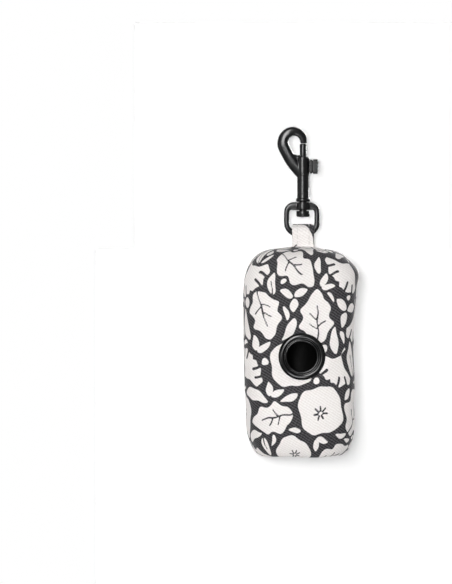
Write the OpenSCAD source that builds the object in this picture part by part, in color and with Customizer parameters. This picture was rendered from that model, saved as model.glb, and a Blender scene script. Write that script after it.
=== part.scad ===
// Hanging dispenser for a roll of bags: a zipped, foam-backed fabric pouch with a round port,
// on the swivel ring of a bolt snap. Millimetres. The part hangs: +Z is up and the port faces -Y.
// The origin is the centre of the round part of the snap's hook, where a lead's ring sits.

/* [Bolt snap] */
// Radius of the round part of the hook's eye
eye_r = 2.25; // [2:0.05:3]
// Thickness of the hook at its tip
hook_tip_t = 2.6; // [2.4:0.1:3]
// Thickness of the hook at its crown
hook_crown_t = 3.4; // [3:0.1:4]
// Thickness of the hook at its back
hook_back_t = 4.1; // [3.6:0.1:4.6]
// Thickness of the hook's slanted limb
hook_limb_t = 5.2; // [4.6:0.1:5.4]
// How far the slanted limb bows out from the straight line to the barrel
hook_limb_bow = 0.6; // [0.4:0.05:0.7]
// Front-to-back depth of the hook
hook_depth = 3.7; // [3:0.1:4.2]
// How far the hook's tip reaches below the eye's centre
tip_drop = 0.55; // [0.3:0.05:1]
// Opening between the hook's tip and the barrel when the bolt is drawn
gate_h = 5; // [4.5:0.1:6]
// Length of the barrel, with its collar
barrel_h = 16.9; // [16:0.1:19]
// Radius of the barrel
barrel_r = 2.2; // [2.1:0.05:2.5]
// How much wider the barrel is where the knob's slot is cut
boss_extra = 0.25; // [0.1:0.05:0.5]
// Radius of the collar at the barrel's foot
collar_r = 2.7; // [2.6:0.05:3.2]
// Height of the collar
collar_h = 1.2; // [0.8:0.1:1.6]

/* [Bolt and knob] */
// Radius of the sliding bolt
bolt_r = 1.22; // [1.1:0.02:1.3]
// Length of the bolt below the barrel's mouth
bolt_inside_h = 6.9; // [6.7:0.1:7.4]
// Distance that the thumb draws the bolt back
bolt_travel = 5; // [4.5:0.1:5.2]
// Height of the thumb knob
knob_h = 5.4; // [5:0.1:5.8]
// Front-to-back width of the thumb knob
knob_w = 5; // [4:0.1:6]
// Thickness of the knob's outer plate
knob_t = 1.7; // [1.2:0.1:2.2]
// Distance from the barrel's axis to the knob's outer face
knob_reach = 5.45; // [5.3:0.05:6.5]
// Distance from the barrel's mouth down to the top of the knob
knob_drop = 1.05; // [0.9:0.05:1.4]
// Thickness of the knob's neck
knob_neck_t = 1.3; // [1:0.05:1.4]
// Radius of the stud that pins the knob to the bolt
knob_stud_r = 0.5; // [0.4:0.05:0.6]
// Radius of the spring's wire
spring_wire_r = 0.15; // [0.12:0.01:0.17]
// Number of turns of the spring
spring_turns = 8; // [6:1:9]

/* [Swivel] */
// Width of the swivel ring
ring_w = 13.4; // [13:0.1:16]
// Height of the swivel ring
ring_h = 13; // [12.5:0.1:15]
// Height of the ring's top bar
ring_bar_t = 3; // [2.6:0.1:3.4]
// Thickness of the ring's arms and bottom
ring_arm_t = 2; // [1.8:0.1:2.2]
// Front-to-back depth of the ring
ring_depth = 2.3; // [2:0.1:2.6]
// Corner radius at the ring's shoulders
ring_shoulder_r = 3.2; // [2.6:0.1:3.6]
// Corner radius at the ring's foot
ring_foot_r = 5.2; // [5:0.1:5.6]
// Radius of the boss in the middle of the top bar
ring_boss_r = 2.6; // [2.3:0.1:2.9]
// Radius of the rivet's shank where the ring turns on it
rivet_r = 1.4; // [1.3:0.05:1.6]
// Radius of the rivet's head
rivet_head_r = 2.5; // [2.2:0.1:2.8]
// Height of the rivet's head
rivet_head_h = 2.25; // [1.6:0.05:2.5]
// Length of the rivet's spigot inside the barrel
spigot_h = 2; // [1.5:0.1:2.5]

/* [Pouch] */
// Width of the pouch at its shoulders
pouch_top_w = 43.2; // [42:0.2:50]
// Width of the pouch at its base
pouch_base_w = 41; // [40:0.2:50]
// Height of the pouch
pouch_h = 79.2; // [78:0.2:90]
// Depth of the front shell, from the seam forward
front_d = 20; // [18.4:0.2:24]
// Depth of the back panels, from the seam back
back_d = 16; // [15.8:0.2:20]
// Thickness of the foam-backed fabric
wall = 2.6; // [2.2:0.1:3]
// Rise of the domed top
crown_h = 1.2; // [0.6:0.1:2]
// Rounding of the top edge
top_r = 12; // [10:0.5:12]
// Share of the top edge's rounding that the depth takes
top_depth_share = 0.75; // [0.6:0.05:0.8]
// Sideways rounding of the bottom edge
base_round_w = 7; // [6:0.5:8]
// Height of the rounding of the bottom edge
base_round_h = 15; // [13:0.5:16]
// Width of the bound seam ridge inside
binding_w = 3; // [2:0.1:4]
// Height of the bound seam ridge inside
binding_t = 2.8; // [2:0.1:3.2]

/* [Hanging loop] */
// Width of the fabric loop
loop_w = 8.2; // [7.6:0.1:8.4]
// Thickness of the loop's doubled fabric
loop_t = 1.2; // [0.9:0.05:1.3]
// Height of the loop above the pouch
loop_h = 8.45; // [8.2:0.05:10]
// Sideways distance of the loop from the pouch's middle
loop_shift = 0.8; // [-1.5:0.1:1.5]
// Distance of the loop's stitch rows from its edges
loop_seam_inset = 1.9; // [1.2:0.1:2.4]

/* [Port] */
// Radius of the port's hole
port_r = 5.5; // [4.5:0.1:6.5]
// Wall of the port's barrel
port_wall = 0.8; // [0.6:0.05:1]
// Radius of the port's front flange
flange_r = 8.7; // [8.4:0.1:9.4]
// Thickness of the flange at its ridge
flange_t = 1.25; // [1:0.05:1.6]
// Radius of the clamping washer inside
washer_r = 8; // [7.8:0.1:8.2]
// Thickness of the clamping washer
washer_t = 1; // [0.8:0.1:1.4]
// How far the port lies below the pouch's middle
port_drop = 1.45; // [0:0.05:5]

/* [Zip] */
// Length of the zip's slit
slit_h = 51; // [46:0.5:52]
// Width of the zip's slit
slit_w = 7.8; // [7.6:0.1:9]
// Width of each zip tape
tape_w = 7.5; // [7:0.1:8]
// Thickness of the zip tapes
tape_t = 0.55; // [0.4:0.05:0.7]
// How far the tapes are set into the back panels
tape_seat = 1; // [0.9:0.05:1.2]
// Spacing of the teeth on one tape
tooth_pitch = 2.2; // [2:0.1:3]
// Width of the closed row of teeth
teeth_w = 4.6; // [4:0.1:4.8]
// Front-to-back thickness of the teeth
teeth_t = 1.8; // [1.4:0.1:2]
// Width of the slider
slider_w = 7.1; // [6.8:0.1:7.2]
// Length of the slider
slider_h = 8.4; // [7.5:0.1:10]
// Thickness of the slider's plate
slider_t = 1.1; // [0.8:0.1:1.3]
// Length of the pull tab
pull_h = 19; // [14:0.5:24]
// Width of the pull tab
pull_w = 4.4; // [4:0.1:5]
// Thickness of the pull tab
pull_t = 1; // [0.8:0.1:1.2]

/* [Bag roll] */
// Radius of the wound roll
roll_r = 11.25; // [9:0.05:11.4]
// Height of the wound roll
roll_h = 59.2; // [50:0.1:62]
// Outer radius of the cardboard core
core_r = 6.5; // [5:0.1:7.5]
// Wall of the cardboard core
core_wall = 0.9; // [0.6:0.05:1.5]

/* [Fits] */
// Running clearance of the bolt in its barrel, and of the ring on its rivet
run_gap = 0.05; // [0.03:0.01:0.1]
// Clearance of a pressed spigot or stud
press_gap = 0.01; // [0.005:0.005:0.02]
// Clearance between moving pieces that only pass each other
move_gap = 0.3; // [0.2:0.05:0.35]
// Clearance of the slider over the teeth
slide_gap = 0.15; // [0.1:0.01:0.2]
// Clearance between fabric and what is sewn to it
seam_gap = 0.12; // [0.08:0.01:0.2]

/* [Hidden] */

black = "#1b1b1d";
print_white = "#f1edea";
charcoal = "#434147";
film_black = "#1c1e1d";
card = "#b08d63";
thread_grey = "#d6d2cd";

// Snap: heights are measured from the eye's centre, and the barrel stands on the bolt's axis.
bolt_lap = 0.13;
axis_x = eye_r + bolt_r - bolt_lap;
mouth_z = -tip_drop - gate_h;
foot_z = mouth_z - barrel_h;
boss_r = barrel_r + boss_extra;
bore_r = bolt_r + run_gap;
knob_top_z = mouth_z - knob_drop;
slot_top_z = knob_top_z + move_gap;
slot_low_z = knob_top_z - knob_h - bolt_travel - move_gap;
boss_low_z = knob_top_z - knob_h;
bolt_tip_gap = 0.15;
bolt_top_z = -tip_drop - bolt_tip_gap;
bolt_low_z = mouth_z - bolt_inside_h;
stud_z = knob_top_z - knob_h / 2;
stud_deep = 1.6 * knob_stud_r;
spring_low_z = foot_z + spigot_h;
chamfer = 0.3;

// Swivel ring and rivet
ring_top_z = foot_z - seam_gap;
ring_low_z = ring_top_z - ring_h;
bar_low_z = ring_top_z - ring_bar_t;
rivet_play = 0.35;
head_top_z = bar_low_z - rivet_play;

// Loop: its eyelet turns on the ring's foot. The eyelet clears the ring from the bottom of its foot
// to where the rounded corners of the foot pass the loop's edges.
inner_foot_r = ring_foot_r - ring_arm_t;
corner_x = ring_w / 2 - ring_foot_r;
corner_z = ring_low_z + ring_foot_r;
edge_dx = max(0, loop_w / 2 - corner_x);
foot_top_z = corner_z - sqrt(inner_foot_r * inner_foot_r - edge_dx * edge_dx);
eyelet_r = (foot_top_z - ring_low_z) / 2 + move_gap;
swing_z = (foot_top_z + ring_low_z) / 2;
loop_r = eyelet_r + loop_t;
loop_top_z = swing_z + loop_r;
pouch_top_z = loop_top_z - loop_h;

// Pouch: its own middle plane is x = pouch_x, and the seam lies in the plane y = 0.
pouch_x = axis_x - loop_shift;
pouch_low_z = pouch_top_z - pouch_h;
shoulder_z = pouch_top_z - crown_h - top_r;
front_n = 4;
back_n = 5;
half_steps = 24;
corner_steps = 6;

// Port: the flange is pressed into the fabric's face, and the washer into its back.
port_z = (pouch_top_z + pouch_low_z) / 2 - port_drop;
port_sink = 0.25;
washer_sink = 0.15;
port_seat_gap = 0.1;
sleeve_over = 0.1;
seat_y = -front_d + port_sink;
washer_y = -front_d + wall - washer_sink;
sleeve_r = port_r + port_wall;
sleeve_end = seat_y - washer_y - washer_t - sleeve_over;

// Zip: the tapes are let into the inside of the back panels.
inner_back_y = back_d - wall;
slit_low_z = pouch_low_z + base_round_h;
slit_top_z = slit_low_z + slit_h;
tape_grip = 1.1;
tape_over = 1.2;
tape_y = inner_back_y + tape_seat - seam_gap;
tape_edge = teeth_w / 2 - tape_grip;
tooth_y = tape_y - tape_t / 2;
tooth_gap = 0.1;
tooth_start = 2;
tooth_h = tooth_pitch / 2 - tooth_gap;
tooth_count = floor((slit_h - 1.5 * tooth_start) / tooth_pitch);
tooth_low_z = slit_low_z + tooth_start;
stop_h = 1.1;
stop_t = 0.7;
stop_w = 1;
stop_inset = 0.1;
slider_y = tooth_y + teeth_t / 2 + slide_gap;
slider_stop_gap = 0.2;
slider_top_z = slit_top_z - stop_h - stop_inset - slider_stop_gap;
slider_mid_z = slider_top_z - slider_h / 2;
pull_play = 0.7;
crown_gap = pull_t + pull_play;
pull_y = slider_y + slider_t + crown_gap / 2;
crown_w = 1.4;
crown_t = 0.8;
crown_len = 6.4;

// Roll: it stands on the seam ridge and leans back, on the teeth or on the rounded foot of the
// back panels, whichever it meets first.
roll_low_z = pouch_low_z + wall + seam_gap + binding_t + move_gap;
foot_cos = 1 - (roll_low_z - pouch_low_z - wall) / (base_round_h - wall);
foot_inset = (base_round_w - wall) * (1 - sqrt(1 - foot_cos * foot_cos));
roll_y = min(tooth_y - teeth_t / 2, inner_back_y - foot_inset) - move_gap - roll_r;

// Stitches
stitch_r = 0.16;
stitch_lift = 0.03;
stitch_len = 1.5;
stitch_pitch = 2.3;
slit_seam_inset = 1.6;

// ---- Shared shapes ----

// Signed power of a cosine or a sine, for superellipse sections.
function spow(v, n) = sign(v) * pow(abs(v), 2 / n);

// Half width of the pouch at height z.
function half_w(z) =
    let (t = (z - pouch_low_z) / (shoulder_z - pouch_low_z))
    (pouch_base_w + (pouch_top_w - pouch_base_w) * min(1, t)) / 2;

// The pouch's rings from its base to its crown, at a depth t below its outer face:
// each is [share of the section, sideways inset, inset in depth, height].
function rings(t) = let (
    rw = base_round_w - t, rh = base_round_h - t, rt = top_r - t
) concat(
    [for (i = [0 : corner_steps]) let (a = 90 * i / corner_steps)
        [1, t + rw * (1 - sin(a)), t + rw * (1 - sin(a)), pouch_low_z + t + rh * (1 - cos(a))]],
    [[1, t, t, (pouch_low_z + base_round_h + shoulder_z) / 2]],
    [for (i = [0 : corner_steps]) let (a = 90 * i / corner_steps)
        [1, t + rt * (1 - cos(a)), t + rt * top_depth_share * (1 - cos(a)), shoulder_z + rt * sin(a)]],
    [for (k = [0.7, 0.35]) let (e = t + rt)
        [k, e, t + rt * top_depth_share, shoulder_z + rt + crown_h * (1 - k * k)]]
);

// A point on a ring at angle a: 0 is the seam at +X, 90 the back and 270 the front.
function on_ring(ring, a) = let (
    depth = sin(a) < 0 ? front_d : back_d,
    n = sin(a) < 0 ? front_n : back_n
) [
    ring[0] * (half_w(ring[3]) - ring[1]) * spow(cos(a), n),
    ring[0] * (depth - ring[2]) * spow(sin(a), n),
    ring[3]
];

// Closed strip of the pouch's wall between two angles. Its outer face, its inner face and the two
// cut edges are one polyhedron; both faces run up to a pole at the base and at the crown.
module wall_strip(a0, a1, steps) {
    outer = rings(0);
    inner = rings(wall);
    m = len(outer);
    c = steps + 1;
    function grid(rs) = [for (r = rs) for (i = [0 : steps]) on_ring(r, a0 + (a1 - a0) * i / steps)];
    points = concat(
        grid(outer), grid(inner),
        [[0, 0, pouch_low_z], [0, 0, pouch_top_z], [0, 0, pouch_low_z + wall], [0, 0, pouch_top_z - wall]]
    );
    b = m * c;
    low_out = 2 * b;
    top_out = low_out + 1;
    low_in = low_out + 2;
    top_in = low_out + 3;
    function quad(p, q, r, s) = [[p, q, r], [p, r, s]];
    faces = concat(
        [for (j = [0 : m - 2]) for (i = [0 : steps - 1])
            each quad(j * c + i, (j + 1) * c + i, (j + 1) * c + i + 1, j * c + i + 1)],
        [for (j = [0 : m - 2]) for (i = [0 : steps - 1])
            each quad(b + j * c + i, b + j * c + i + 1, b + (j + 1) * c + i + 1, b + (j + 1) * c + i)],
        [for (i = [0 : steps - 1]) [low_out, i, i + 1]],
        [for (i = [0 : steps - 1]) [top_out, (m - 1) * c + i + 1, (m - 1) * c + i]],
        [for (i = [0 : steps - 1]) [low_in, b + i + 1, b + i]],
        [for (i = [0 : steps - 1]) [top_in, b + (m - 1) * c + i, b + (m - 1) * c + i + 1]],
        [for (j = [0 : m - 2]) each quad(j * c, b + j * c, b + (j + 1) * c, (j + 1) * c)],
        [for (j = [0 : m - 2]) let (e = j * c + steps) each quad(e, e + c, b + e + c, b + e)],
        quad(low_out, low_in, b, 0),
        quad(low_out, steps, b + steps, low_in),
        quad(top_out, (m - 1) * c, b + (m - 1) * c, top_in),
        quad(top_out, top_in, b + (m - 1) * c + steps, (m - 1) * c + steps)
    );
    translate([pouch_x, 0, 0]) polyhedron(points = points, faces = faces, convexity = 6);
}

// Half of the pouch's inside outline in the seam plane, from the base's middle to the crown's
// middle, at a depth t below the outer face and on the side s = 1 or -1.
function seam_half(t, s) = concat(
    [[0, pouch_low_z + t]],
    [for (r = rings(t)) [s * r[0] * (half_w(r[3]) - r[1]), r[3]]],
    [[0, pouch_top_z - t]]
);

// The whole outline as one closed list, up the right side and down the left.
function seam_loop(t) = let (
    right = seam_half(t, 1), left = seam_half(t, -1), n = len(right)
) concat(right, [for (i = [n - 2 : -1 : 1]) left[i]]);

// Tube along a list of sections, each a list of as many points. A closed tube joins its last
// section to its first, and an open one gets flat ends.
module skin(sections, closed) {
    m = len(sections);
    c = len(sections[0]);
    last = closed ? m - 1 : m - 2;
    sides = [for (j = [0 : last]) for (i = [0 : c - 1]) let (
        p = j * c + i, q = j * c + (i + 1) % c,
        r = ((j + 1) % m) * c + (i + 1) % c, s = ((j + 1) % m) * c + i
    ) each [[p, q, r], [p, r, s]]];
    ends = closed ? [] : [[for (i = [c - 1 : -1 : 0]) i], [for (i = [0 : c - 1]) (m - 1) * c + i]];
    polyhedron(points = [for (s = sections) each s], faces = concat(sides, ends), convexity = 8);
}

// Section of a cast bar in the XZ plane: centre p, direction d, half thickness r, half depth e.
function bar_section(p, d, r, e, sides) = [for (i = [0 : sides - 1]) let (
    a = 360 * i / sides, side = [d[1], -d[0]]
) [p[0] + side[0] * r * spow(cos(a), 2.4), -e * spow(sin(a), 2.4), p[1] + side[1] * r * spow(cos(a), 2.4)]];

function unit(v) = v / norm(v);

// Direction of a path at point i: towards the next point from the one before it.
function heading(path, i, closed) = let (
    n = len(path),
    a = closed ? (i + n - 1) % n : max(0, i - 1),
    b = closed ? (i + 1) % n : min(n - 1, i + 1)
) unit([path[b][0] - path[a][0], path[b][1] - path[a][1]]);

// One stitch lying along the direction that rot gives, centred at pos.
module stitch(pos, rot) {
    translate(pos) rotate(rot) cylinder(r = stitch_r, h = stitch_len, center = true, $fn = 16);
}

// ---- Snap ----

// Stations along the hook, each [x, z, half thickness]: the bar runs round the eye from its tip
// to its back, and then slants down into the barrel.
hook_path = let (
    tip = hook_tip_t / 2, crown = hook_crown_t / 2, back = hook_back_t / 2,
    arc = [for (i = [0 : 12]) let (
        a = 15 * i,
        r = a < 90 ? tip + (crown - tip) * a / 90 : crown + (back - crown) * (a - 90) / 90
    ) [(eye_r + r) * cos(a), (eye_r + r) * sin(a), r]],
    bend = [for (i = [1 : 3]) let (
        a = 180 + 7 * i, r = back + 0.05 * i
    ) [(eye_r + r) * cos(a), (eye_r + r) * sin(a), r]],
    start = bend[2],
    goal = [axis_x - 0.15, boss_low_z - 1, barrel_r - 0.2],
    swell = hook_limb_t / 2 - (start[2] + goal[2]) / 2,
    out = unit([start[1] - goal[1], goal[0] - start[0]]) * -hook_limb_bow,
    slope = [for (i = [1 : 8]) let (t = i / 8)
        start + (goal - start) * t + [out[0], out[1], swell] * sin(180 * t)]
) concat([[eye_r + tip, -tip_drop, tip - 0.1]], arc, bend, slope);

module snap_body() color(black) difference() {
    union() {
        skin([for (i = [0 : len(hook_path) - 1]) let (
            p = hook_path[i], share = min(1, i / 8)
        ) bar_section(p, heading(hook_path, i, false), p[2],
            hook_tip_t / 2 + (hook_depth - hook_tip_t) / 2 * share, 16)], false);
        translate([axis_x, 0, 0]) rotate_extrude($fn = 48) polygon([
            [0, foot_z], [collar_r - 0.2, foot_z], [collar_r, foot_z + 0.2],
            [collar_r, foot_z + collar_h - 0.2], [collar_r - 0.2, foot_z + collar_h],
            [barrel_r + 0.1, foot_z + collar_h], [barrel_r, foot_z + collar_h + chamfer],
            [barrel_r, boss_low_z - chamfer], [boss_r, boss_low_z],
            [boss_r, mouth_z - chamfer], [boss_r - chamfer, mouth_z], [0, mouth_z]
        ]);
    }
    translate([axis_x, 0, foot_z - 1]) cylinder(r = bore_r, h = barrel_h + 1.01, $fn = 32);
    translate([axis_x, -knob_neck_t / 2 - slide_gap, slot_low_z])
        cube([collar_r + 1, knob_neck_t + 2 * slide_gap, slot_top_z - slot_low_z]);
}

module bolt() color(black) difference() {
    translate([axis_x, 0, 0]) rotate_extrude($fn = 32) polygon([
        [0, bolt_low_z], [bolt_r - chamfer, bolt_low_z], [bolt_r, bolt_low_z + chamfer],
        [bolt_r, bolt_top_z - chamfer], [bolt_r - chamfer, bolt_top_z], [0, bolt_top_z]
    ]);
    translate([axis_x + bolt_r - stud_deep, 0, stud_z]) rotate([0, 90, 0])
        cylinder(r = knob_stud_r + press_gap, h = bolt_r + 1, $fn = 24);
}

// Plate of the knob with round corners, in the YZ plane, from x0 with thickness t.
module knob_plate(x0, t, w, h) {
    r = 1;
    translate([axis_x + x0, 0, stud_z]) rotate([90, 0, 90]) linear_extrude(t) union() {
        square([w - 2 * r, h], center = true);
        square([w, h - 2 * r], center = true);
        for (i = [-1, 1]) for (j = [-1, 1])
            translate([i * (w / 2 - r), j * (h / 2 - r)]) circle(r, $fn = 24);
    }
}

module thumb_knob() color(black) union() {
    plate_x = knob_reach - knob_t;
    waist_t = 0.3;
    knob_plate(plate_x, knob_t, knob_w, knob_h);
    knob_plate(plate_x - waist_t, waist_t, knob_w - 1, knob_h - 1);
    knob_plate(boss_r + slide_gap, plate_x - waist_t - boss_r - slide_gap, knob_w - 0.4, knob_h - 0.4);
    for (i = [-1 : 1]) translate([axis_x + knob_reach, 0, stud_z + i * knob_h / 4]) rotate([90, 0, 0])
        cylinder(r = 0.22, h = knob_w - 2, center = true, $fn = 16);
    translate([axis_x + bolt_r + run_gap, -knob_neck_t / 2, stud_z - knob_h / 2 + 0.6])
        cube([boss_r + slide_gap - bolt_r - run_gap, knob_neck_t, knob_h - 1.2]);
    translate([axis_x + bolt_r - stud_deep + press_gap, 0, stud_z]) rotate([0, 90, 0])
        cylinder(r = knob_stud_r, h = stud_deep + 2 * run_gap, $fn = 24);
}

module bolt_spring() color("silver") {
    coil_r = bore_r - spring_wire_r - 0.05;
    low = spring_low_z + spring_wire_r + 0.02;
    rise = bolt_low_z - spring_low_z - 2 * spring_wire_r - 0.04;
    steps = 14 * spring_turns;
    skin([for (j = [0 : steps]) let (a = 360 * j * spring_turns / steps, z = low + rise * j / steps)
        [for (i = [0 : 5]) let (b = -60 * i, q = coil_r + spring_wire_r * cos(b))
            [axis_x + q * cos(a), q * sin(a), z + spring_wire_r * sin(b)]]], false);
}

module swivel_rivet() color(black) translate([axis_x, 0, 0]) rotate_extrude($fn = 48) polygon([
    [0, head_top_z - rivet_head_h], [rivet_head_r - 0.4, head_top_z - rivet_head_h],
    [rivet_head_r, head_top_z - rivet_head_h + 0.4], [rivet_head_r, head_top_z - 0.2],
    [rivet_head_r - 0.2, head_top_z], [rivet_r, head_top_z], [rivet_r, foot_z],
    [bore_r - press_gap, foot_z], [bore_r - press_gap, foot_z + spigot_h - 0.2],
    [bore_r - 0.3, foot_z + spigot_h], [0, foot_z + spigot_h]
]);

// ---- Swivel ring ----

// Centre line of the ring with its half thickness at each station, [x, z, r], anticlockwise from
// the middle of the foot: two foot corners, two straight arms and two shoulders.
ring_path = let (
    arm = ring_arm_t / 2, bar = ring_bar_t / 2,
    mid_x = ring_w / 2 - arm,
    foot = ring_foot_r - arm, neck = ring_shoulder_r - arm,
    fx = mid_x - foot, fz = ring_low_z + arm + foot,
    sx = mid_x - neck, sz = ring_top_z - bar - neck,
    right = concat(
        [[fx / 2, ring_low_z + arm, arm]],
        [for (i = [0 : 7]) let (a = -90 + 90 * i / 7) [fx + foot * cos(a), fz + foot * sin(a), arm]],
        [[mid_x, (fz + sz) / 2, arm]],
        [for (i = [0 : 5]) let (a = 90 * i / 5)
            [sx + neck * cos(a), sz + neck * sin(a), arm + (bar - arm) * pow(i / 5, 2)]],
        [[sx / 2, ring_top_z - bar, bar]]
    )
) concat(right, [for (i = [len(right) - 1 : -1 : 0]) [-right[i][0], right[i][1], right[i][2]]]);

module swivel_ring() color(black) translate([axis_x, 0, 0]) difference() {
    union() {
        skin([for (i = [0 : len(ring_path) - 1]) let (p = ring_path[i])
            bar_section(p, heading(ring_path, i, true), p[2], ring_depth / 2, 12)], true);
        translate([0, 0, bar_low_z]) cylinder(r = ring_boss_r, h = ring_bar_t, $fn = 48);
    }
    translate([0, 0, bar_low_z - 1]) cylinder(r = rivet_r + run_gap, h = ring_bar_t + 2, $fn = 48);
}

// ---- Hanging loop ----

tail_sink = 0.25;
neck_lift = 0.4;
tail_z = pouch_top_z - wall + tail_sink;
neck_z = pouch_top_z + neck_lift;
// The angle at which the loop's two flanks leave its eyelet towards the neck.
flank_a = let (d = swing_z - neck_z, q = norm([d, loop_t]))
    asin(loop_r / q) - atan2(loop_t, d);

module hanging_loop() color(print_white) {
    flank_r = loop_r - 0.04;
    flank = [flank_r * cos(flank_a), -flank_r * sin(flank_a)];
    translate([axis_x - loop_w / 2, 0, swing_z]) rotate([90, 0, 90]) difference() {
        union() {
            cylinder(r = loop_r, h = loop_w, $fn = 64);
            linear_extrude(loop_w) polygon([
                flank, [0, 0], [-flank[0], flank[1]], [-loop_t, neck_z - swing_z],
                [-loop_t, tail_z - swing_z], [loop_t, tail_z - swing_z], [loop_t, neck_z - swing_z]
            ]);
        }
        translate([0, 0, -1]) cylinder(r = eyelet_r, h = loop_w + 2, $fn = 64);
    }
}

// Two rows of stitches on the front and on the back of the loop, following its round top.
module loop_stitching() color(thread_grey) {
    off = loop_r + stitch_r + stitch_lift;
    first = 18;
    turn = stitch_pitch / loop_r * 180 / PI;
    for (side = [-1, 1]) for (face = [-1, 1]) for (i = [0 : 2]) {
        a = first + turn * i;
        stitch([
            axis_x + side * (loop_w / 2 - loop_seam_inset),
            face * off * sin(a), swing_z + off * cos(a)
        ], [face * (90 - a), 0, 0]);
    }
}

// ---- Pouch ----

// Space that the loop's tail takes in the seam.
module tail_notch() {
    side_gap = seam_gap / 2;
    translate([axis_x - loop_w / 2 - seam_gap, -loop_t - side_gap, pouch_top_z - wall - 2])
        cube([loop_w + 2 * seam_gap, 2 * (loop_t + side_gap), wall + 4]);
}

// Round holes and seats for the port: each is [radius, front, back].
module port_cuts() {
    for (c = [
        [sleeve_r + run_gap, -front_d - 2, 0],
        [flange_r + port_seat_gap, -front_d - 2, seat_y],
        [washer_r + port_seat_gap, washer_y, 0]
    ]) translate([pouch_x, c[2], port_z]) rotate([90, 0, 0]) cylinder(r = c[0], h = c[2] - c[1], $fn = 64);
}

module front_shell() color(print_white) difference() {
    wall_strip(180, 360, half_steps);
    tail_notch();
    port_cuts();
}

module back_panel(a0) {
    difference() {
        wall_strip(a0, a0 + 90, half_steps / 2);
        tail_notch();
        translate([pouch_x - slit_w / 2, 1, slit_low_z]) cube([slit_w, back_d, slit_h]);
        translate([pouch_x - tape_edge - tape_w - seam_gap, 1, slit_low_z - tape_over - seam_gap]) cube([
            2 * (tape_edge + tape_w + seam_gap), tape_y + seam_gap - 1,
            slit_h + 2 * (tape_over + seam_gap)
        ]);
    }
}

module back_panel_left() color(print_white) back_panel(90);

module back_panel_right() color(print_white) back_panel(0);

module seam_binding() color(charcoal) {
    out = seam_loop(wall + seam_gap);
    in = seam_loop(wall + seam_gap + binding_t);
    translate([pouch_x, 0, 0]) skin([for (i = [0 : len(out) - 1]) [
        [out[i][0], -binding_w / 2, out[i][1]], [out[i][0], binding_w / 2, out[i][1]],
        [in[i][0], binding_w / 2, in[i][1]], [in[i][0], -binding_w / 2, in[i][1]]
    ]], true);
}

// Stitches through the seam ridge, one row on its front face and one on its back face.
module seam_stitching() color(thread_grey) {
    x = half_w(port_z) - wall - seam_gap - binding_t / 2;
    n = floor((shoulder_z - slit_low_z) / (2 * stitch_pitch));
    for (side = [-1, 1]) for (face = [-1, 1]) for (i = [0 : n])
        stitch([pouch_x + side * x, face * (binding_w / 2 + stitch_r + stitch_lift),
            slit_low_z + 2 * stitch_pitch * i], [0, 0, 0]);
}

// ---- Port ----

// The port's flange and sleeve, turned about the port's axis. Radius first, then height in front
// of the seat, so negative heights are inside the wall.
module port_flange() color(black) translate([pouch_x, seat_y, port_z]) rotate([90, 0, 0])
    rotate_extrude($fn = 96) polygon([
        [port_r, sleeve_end], [sleeve_r, sleeve_end],
        [sleeve_r, 0], [flange_r, 0], [flange_r, 0.35], [flange_r - 0.35, 0.8],
        [flange_r - 0.9, flange_t - 0.1], [flange_r - 1.3, flange_t], [flange_r - 1.75, flange_t - 0.15],
        [flange_r - 2, flange_t - 0.45], [flange_r - 2.3, flange_t - 0.45],
        [sleeve_r - 0.15, flange_t - 0.05], [port_r + 0.35, flange_t - 0.05],
        [port_r + 0.1, flange_t - 0.2], [port_r, flange_t - 0.5]
    ]);

module port_washer() color(black) translate([pouch_x, washer_y + washer_t, port_z]) rotate([90, 0, 0])
    difference() {
        cylinder(r = washer_r, h = washer_t, $fn = 96);
        translate([0, 0, -1]) cylinder(r = sleeve_r + press_gap, h = washer_t + 2, $fn = 96);
    }

// ---- Zip ----

module zip_tape(side) {
    x0 = side > 0 ? pouch_x + tape_edge : pouch_x - tape_edge - tape_w;
    translate([x0, tape_y - tape_t, slit_low_z - tape_over]) cube([tape_w, tape_t, slit_h + 2 * tape_over]);
}

module zip_tape_left() color(charcoal) zip_tape(-1);

module zip_tape_right() color(charcoal) zip_tape(1);

// A row of teeth: each grips the tape's edge from both faces and reaches past the middle line.
module zip_teeth(side) {
    reach = 0.5;
    groove = tape_grip + press_gap;
    for (i = [0 : tooth_count - 1])
        translate([pouch_x, 0, tooth_low_z + tooth_pitch * (i + (side > 0 ? 0.5 : 0))])
            mirror([side > 0 ? 0 : 1, 0, 0]) difference() {
                translate([-reach, tooth_y - teeth_t / 2, 0]) cube([teeth_w / 2 + reach, teeth_t, tooth_h]);
                translate([teeth_w / 2 - groove, tape_y - tape_t - press_gap, -1])
                    cube([groove + 1, tape_t + 2 * press_gap, tooth_h + 2]);
            }
}

module zip_teeth_left() color(black) zip_teeth(-1);

module zip_teeth_right() color(black) zip_teeth(1);

// Rows of stitches on the back panels' outer face, along both edges of the slit.
module zip_stitching() color(thread_grey)
    for (side = [-1, 1]) for (i = [0 : floor((slit_h - 2 * tooth_start) / stitch_pitch)])
        stitch([pouch_x + side * (slit_w / 2 + slit_seam_inset), back_d + stitch_r + stitch_lift,
            tooth_low_z + stitch_len / 2 + stitch_pitch * i], [0, 0, 0]);

module zip_top_stops() color(black)
    for (side = [-1, 1])
        translate([
            pouch_x + side * (teeth_w - tape_grip) / 2 - stop_w / 2,
            tape_y + press_gap, slit_top_z - stop_h - stop_inset
        ]) cube([stop_w, stop_t, stop_h]);

module zip_bottom_stop() color(black)
    translate([pouch_x - teeth_w / 2, tape_y + press_gap, slit_low_z + 3 * stop_inset])
        cube([teeth_w, stop_t, 1.5 * stop_h]);

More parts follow.
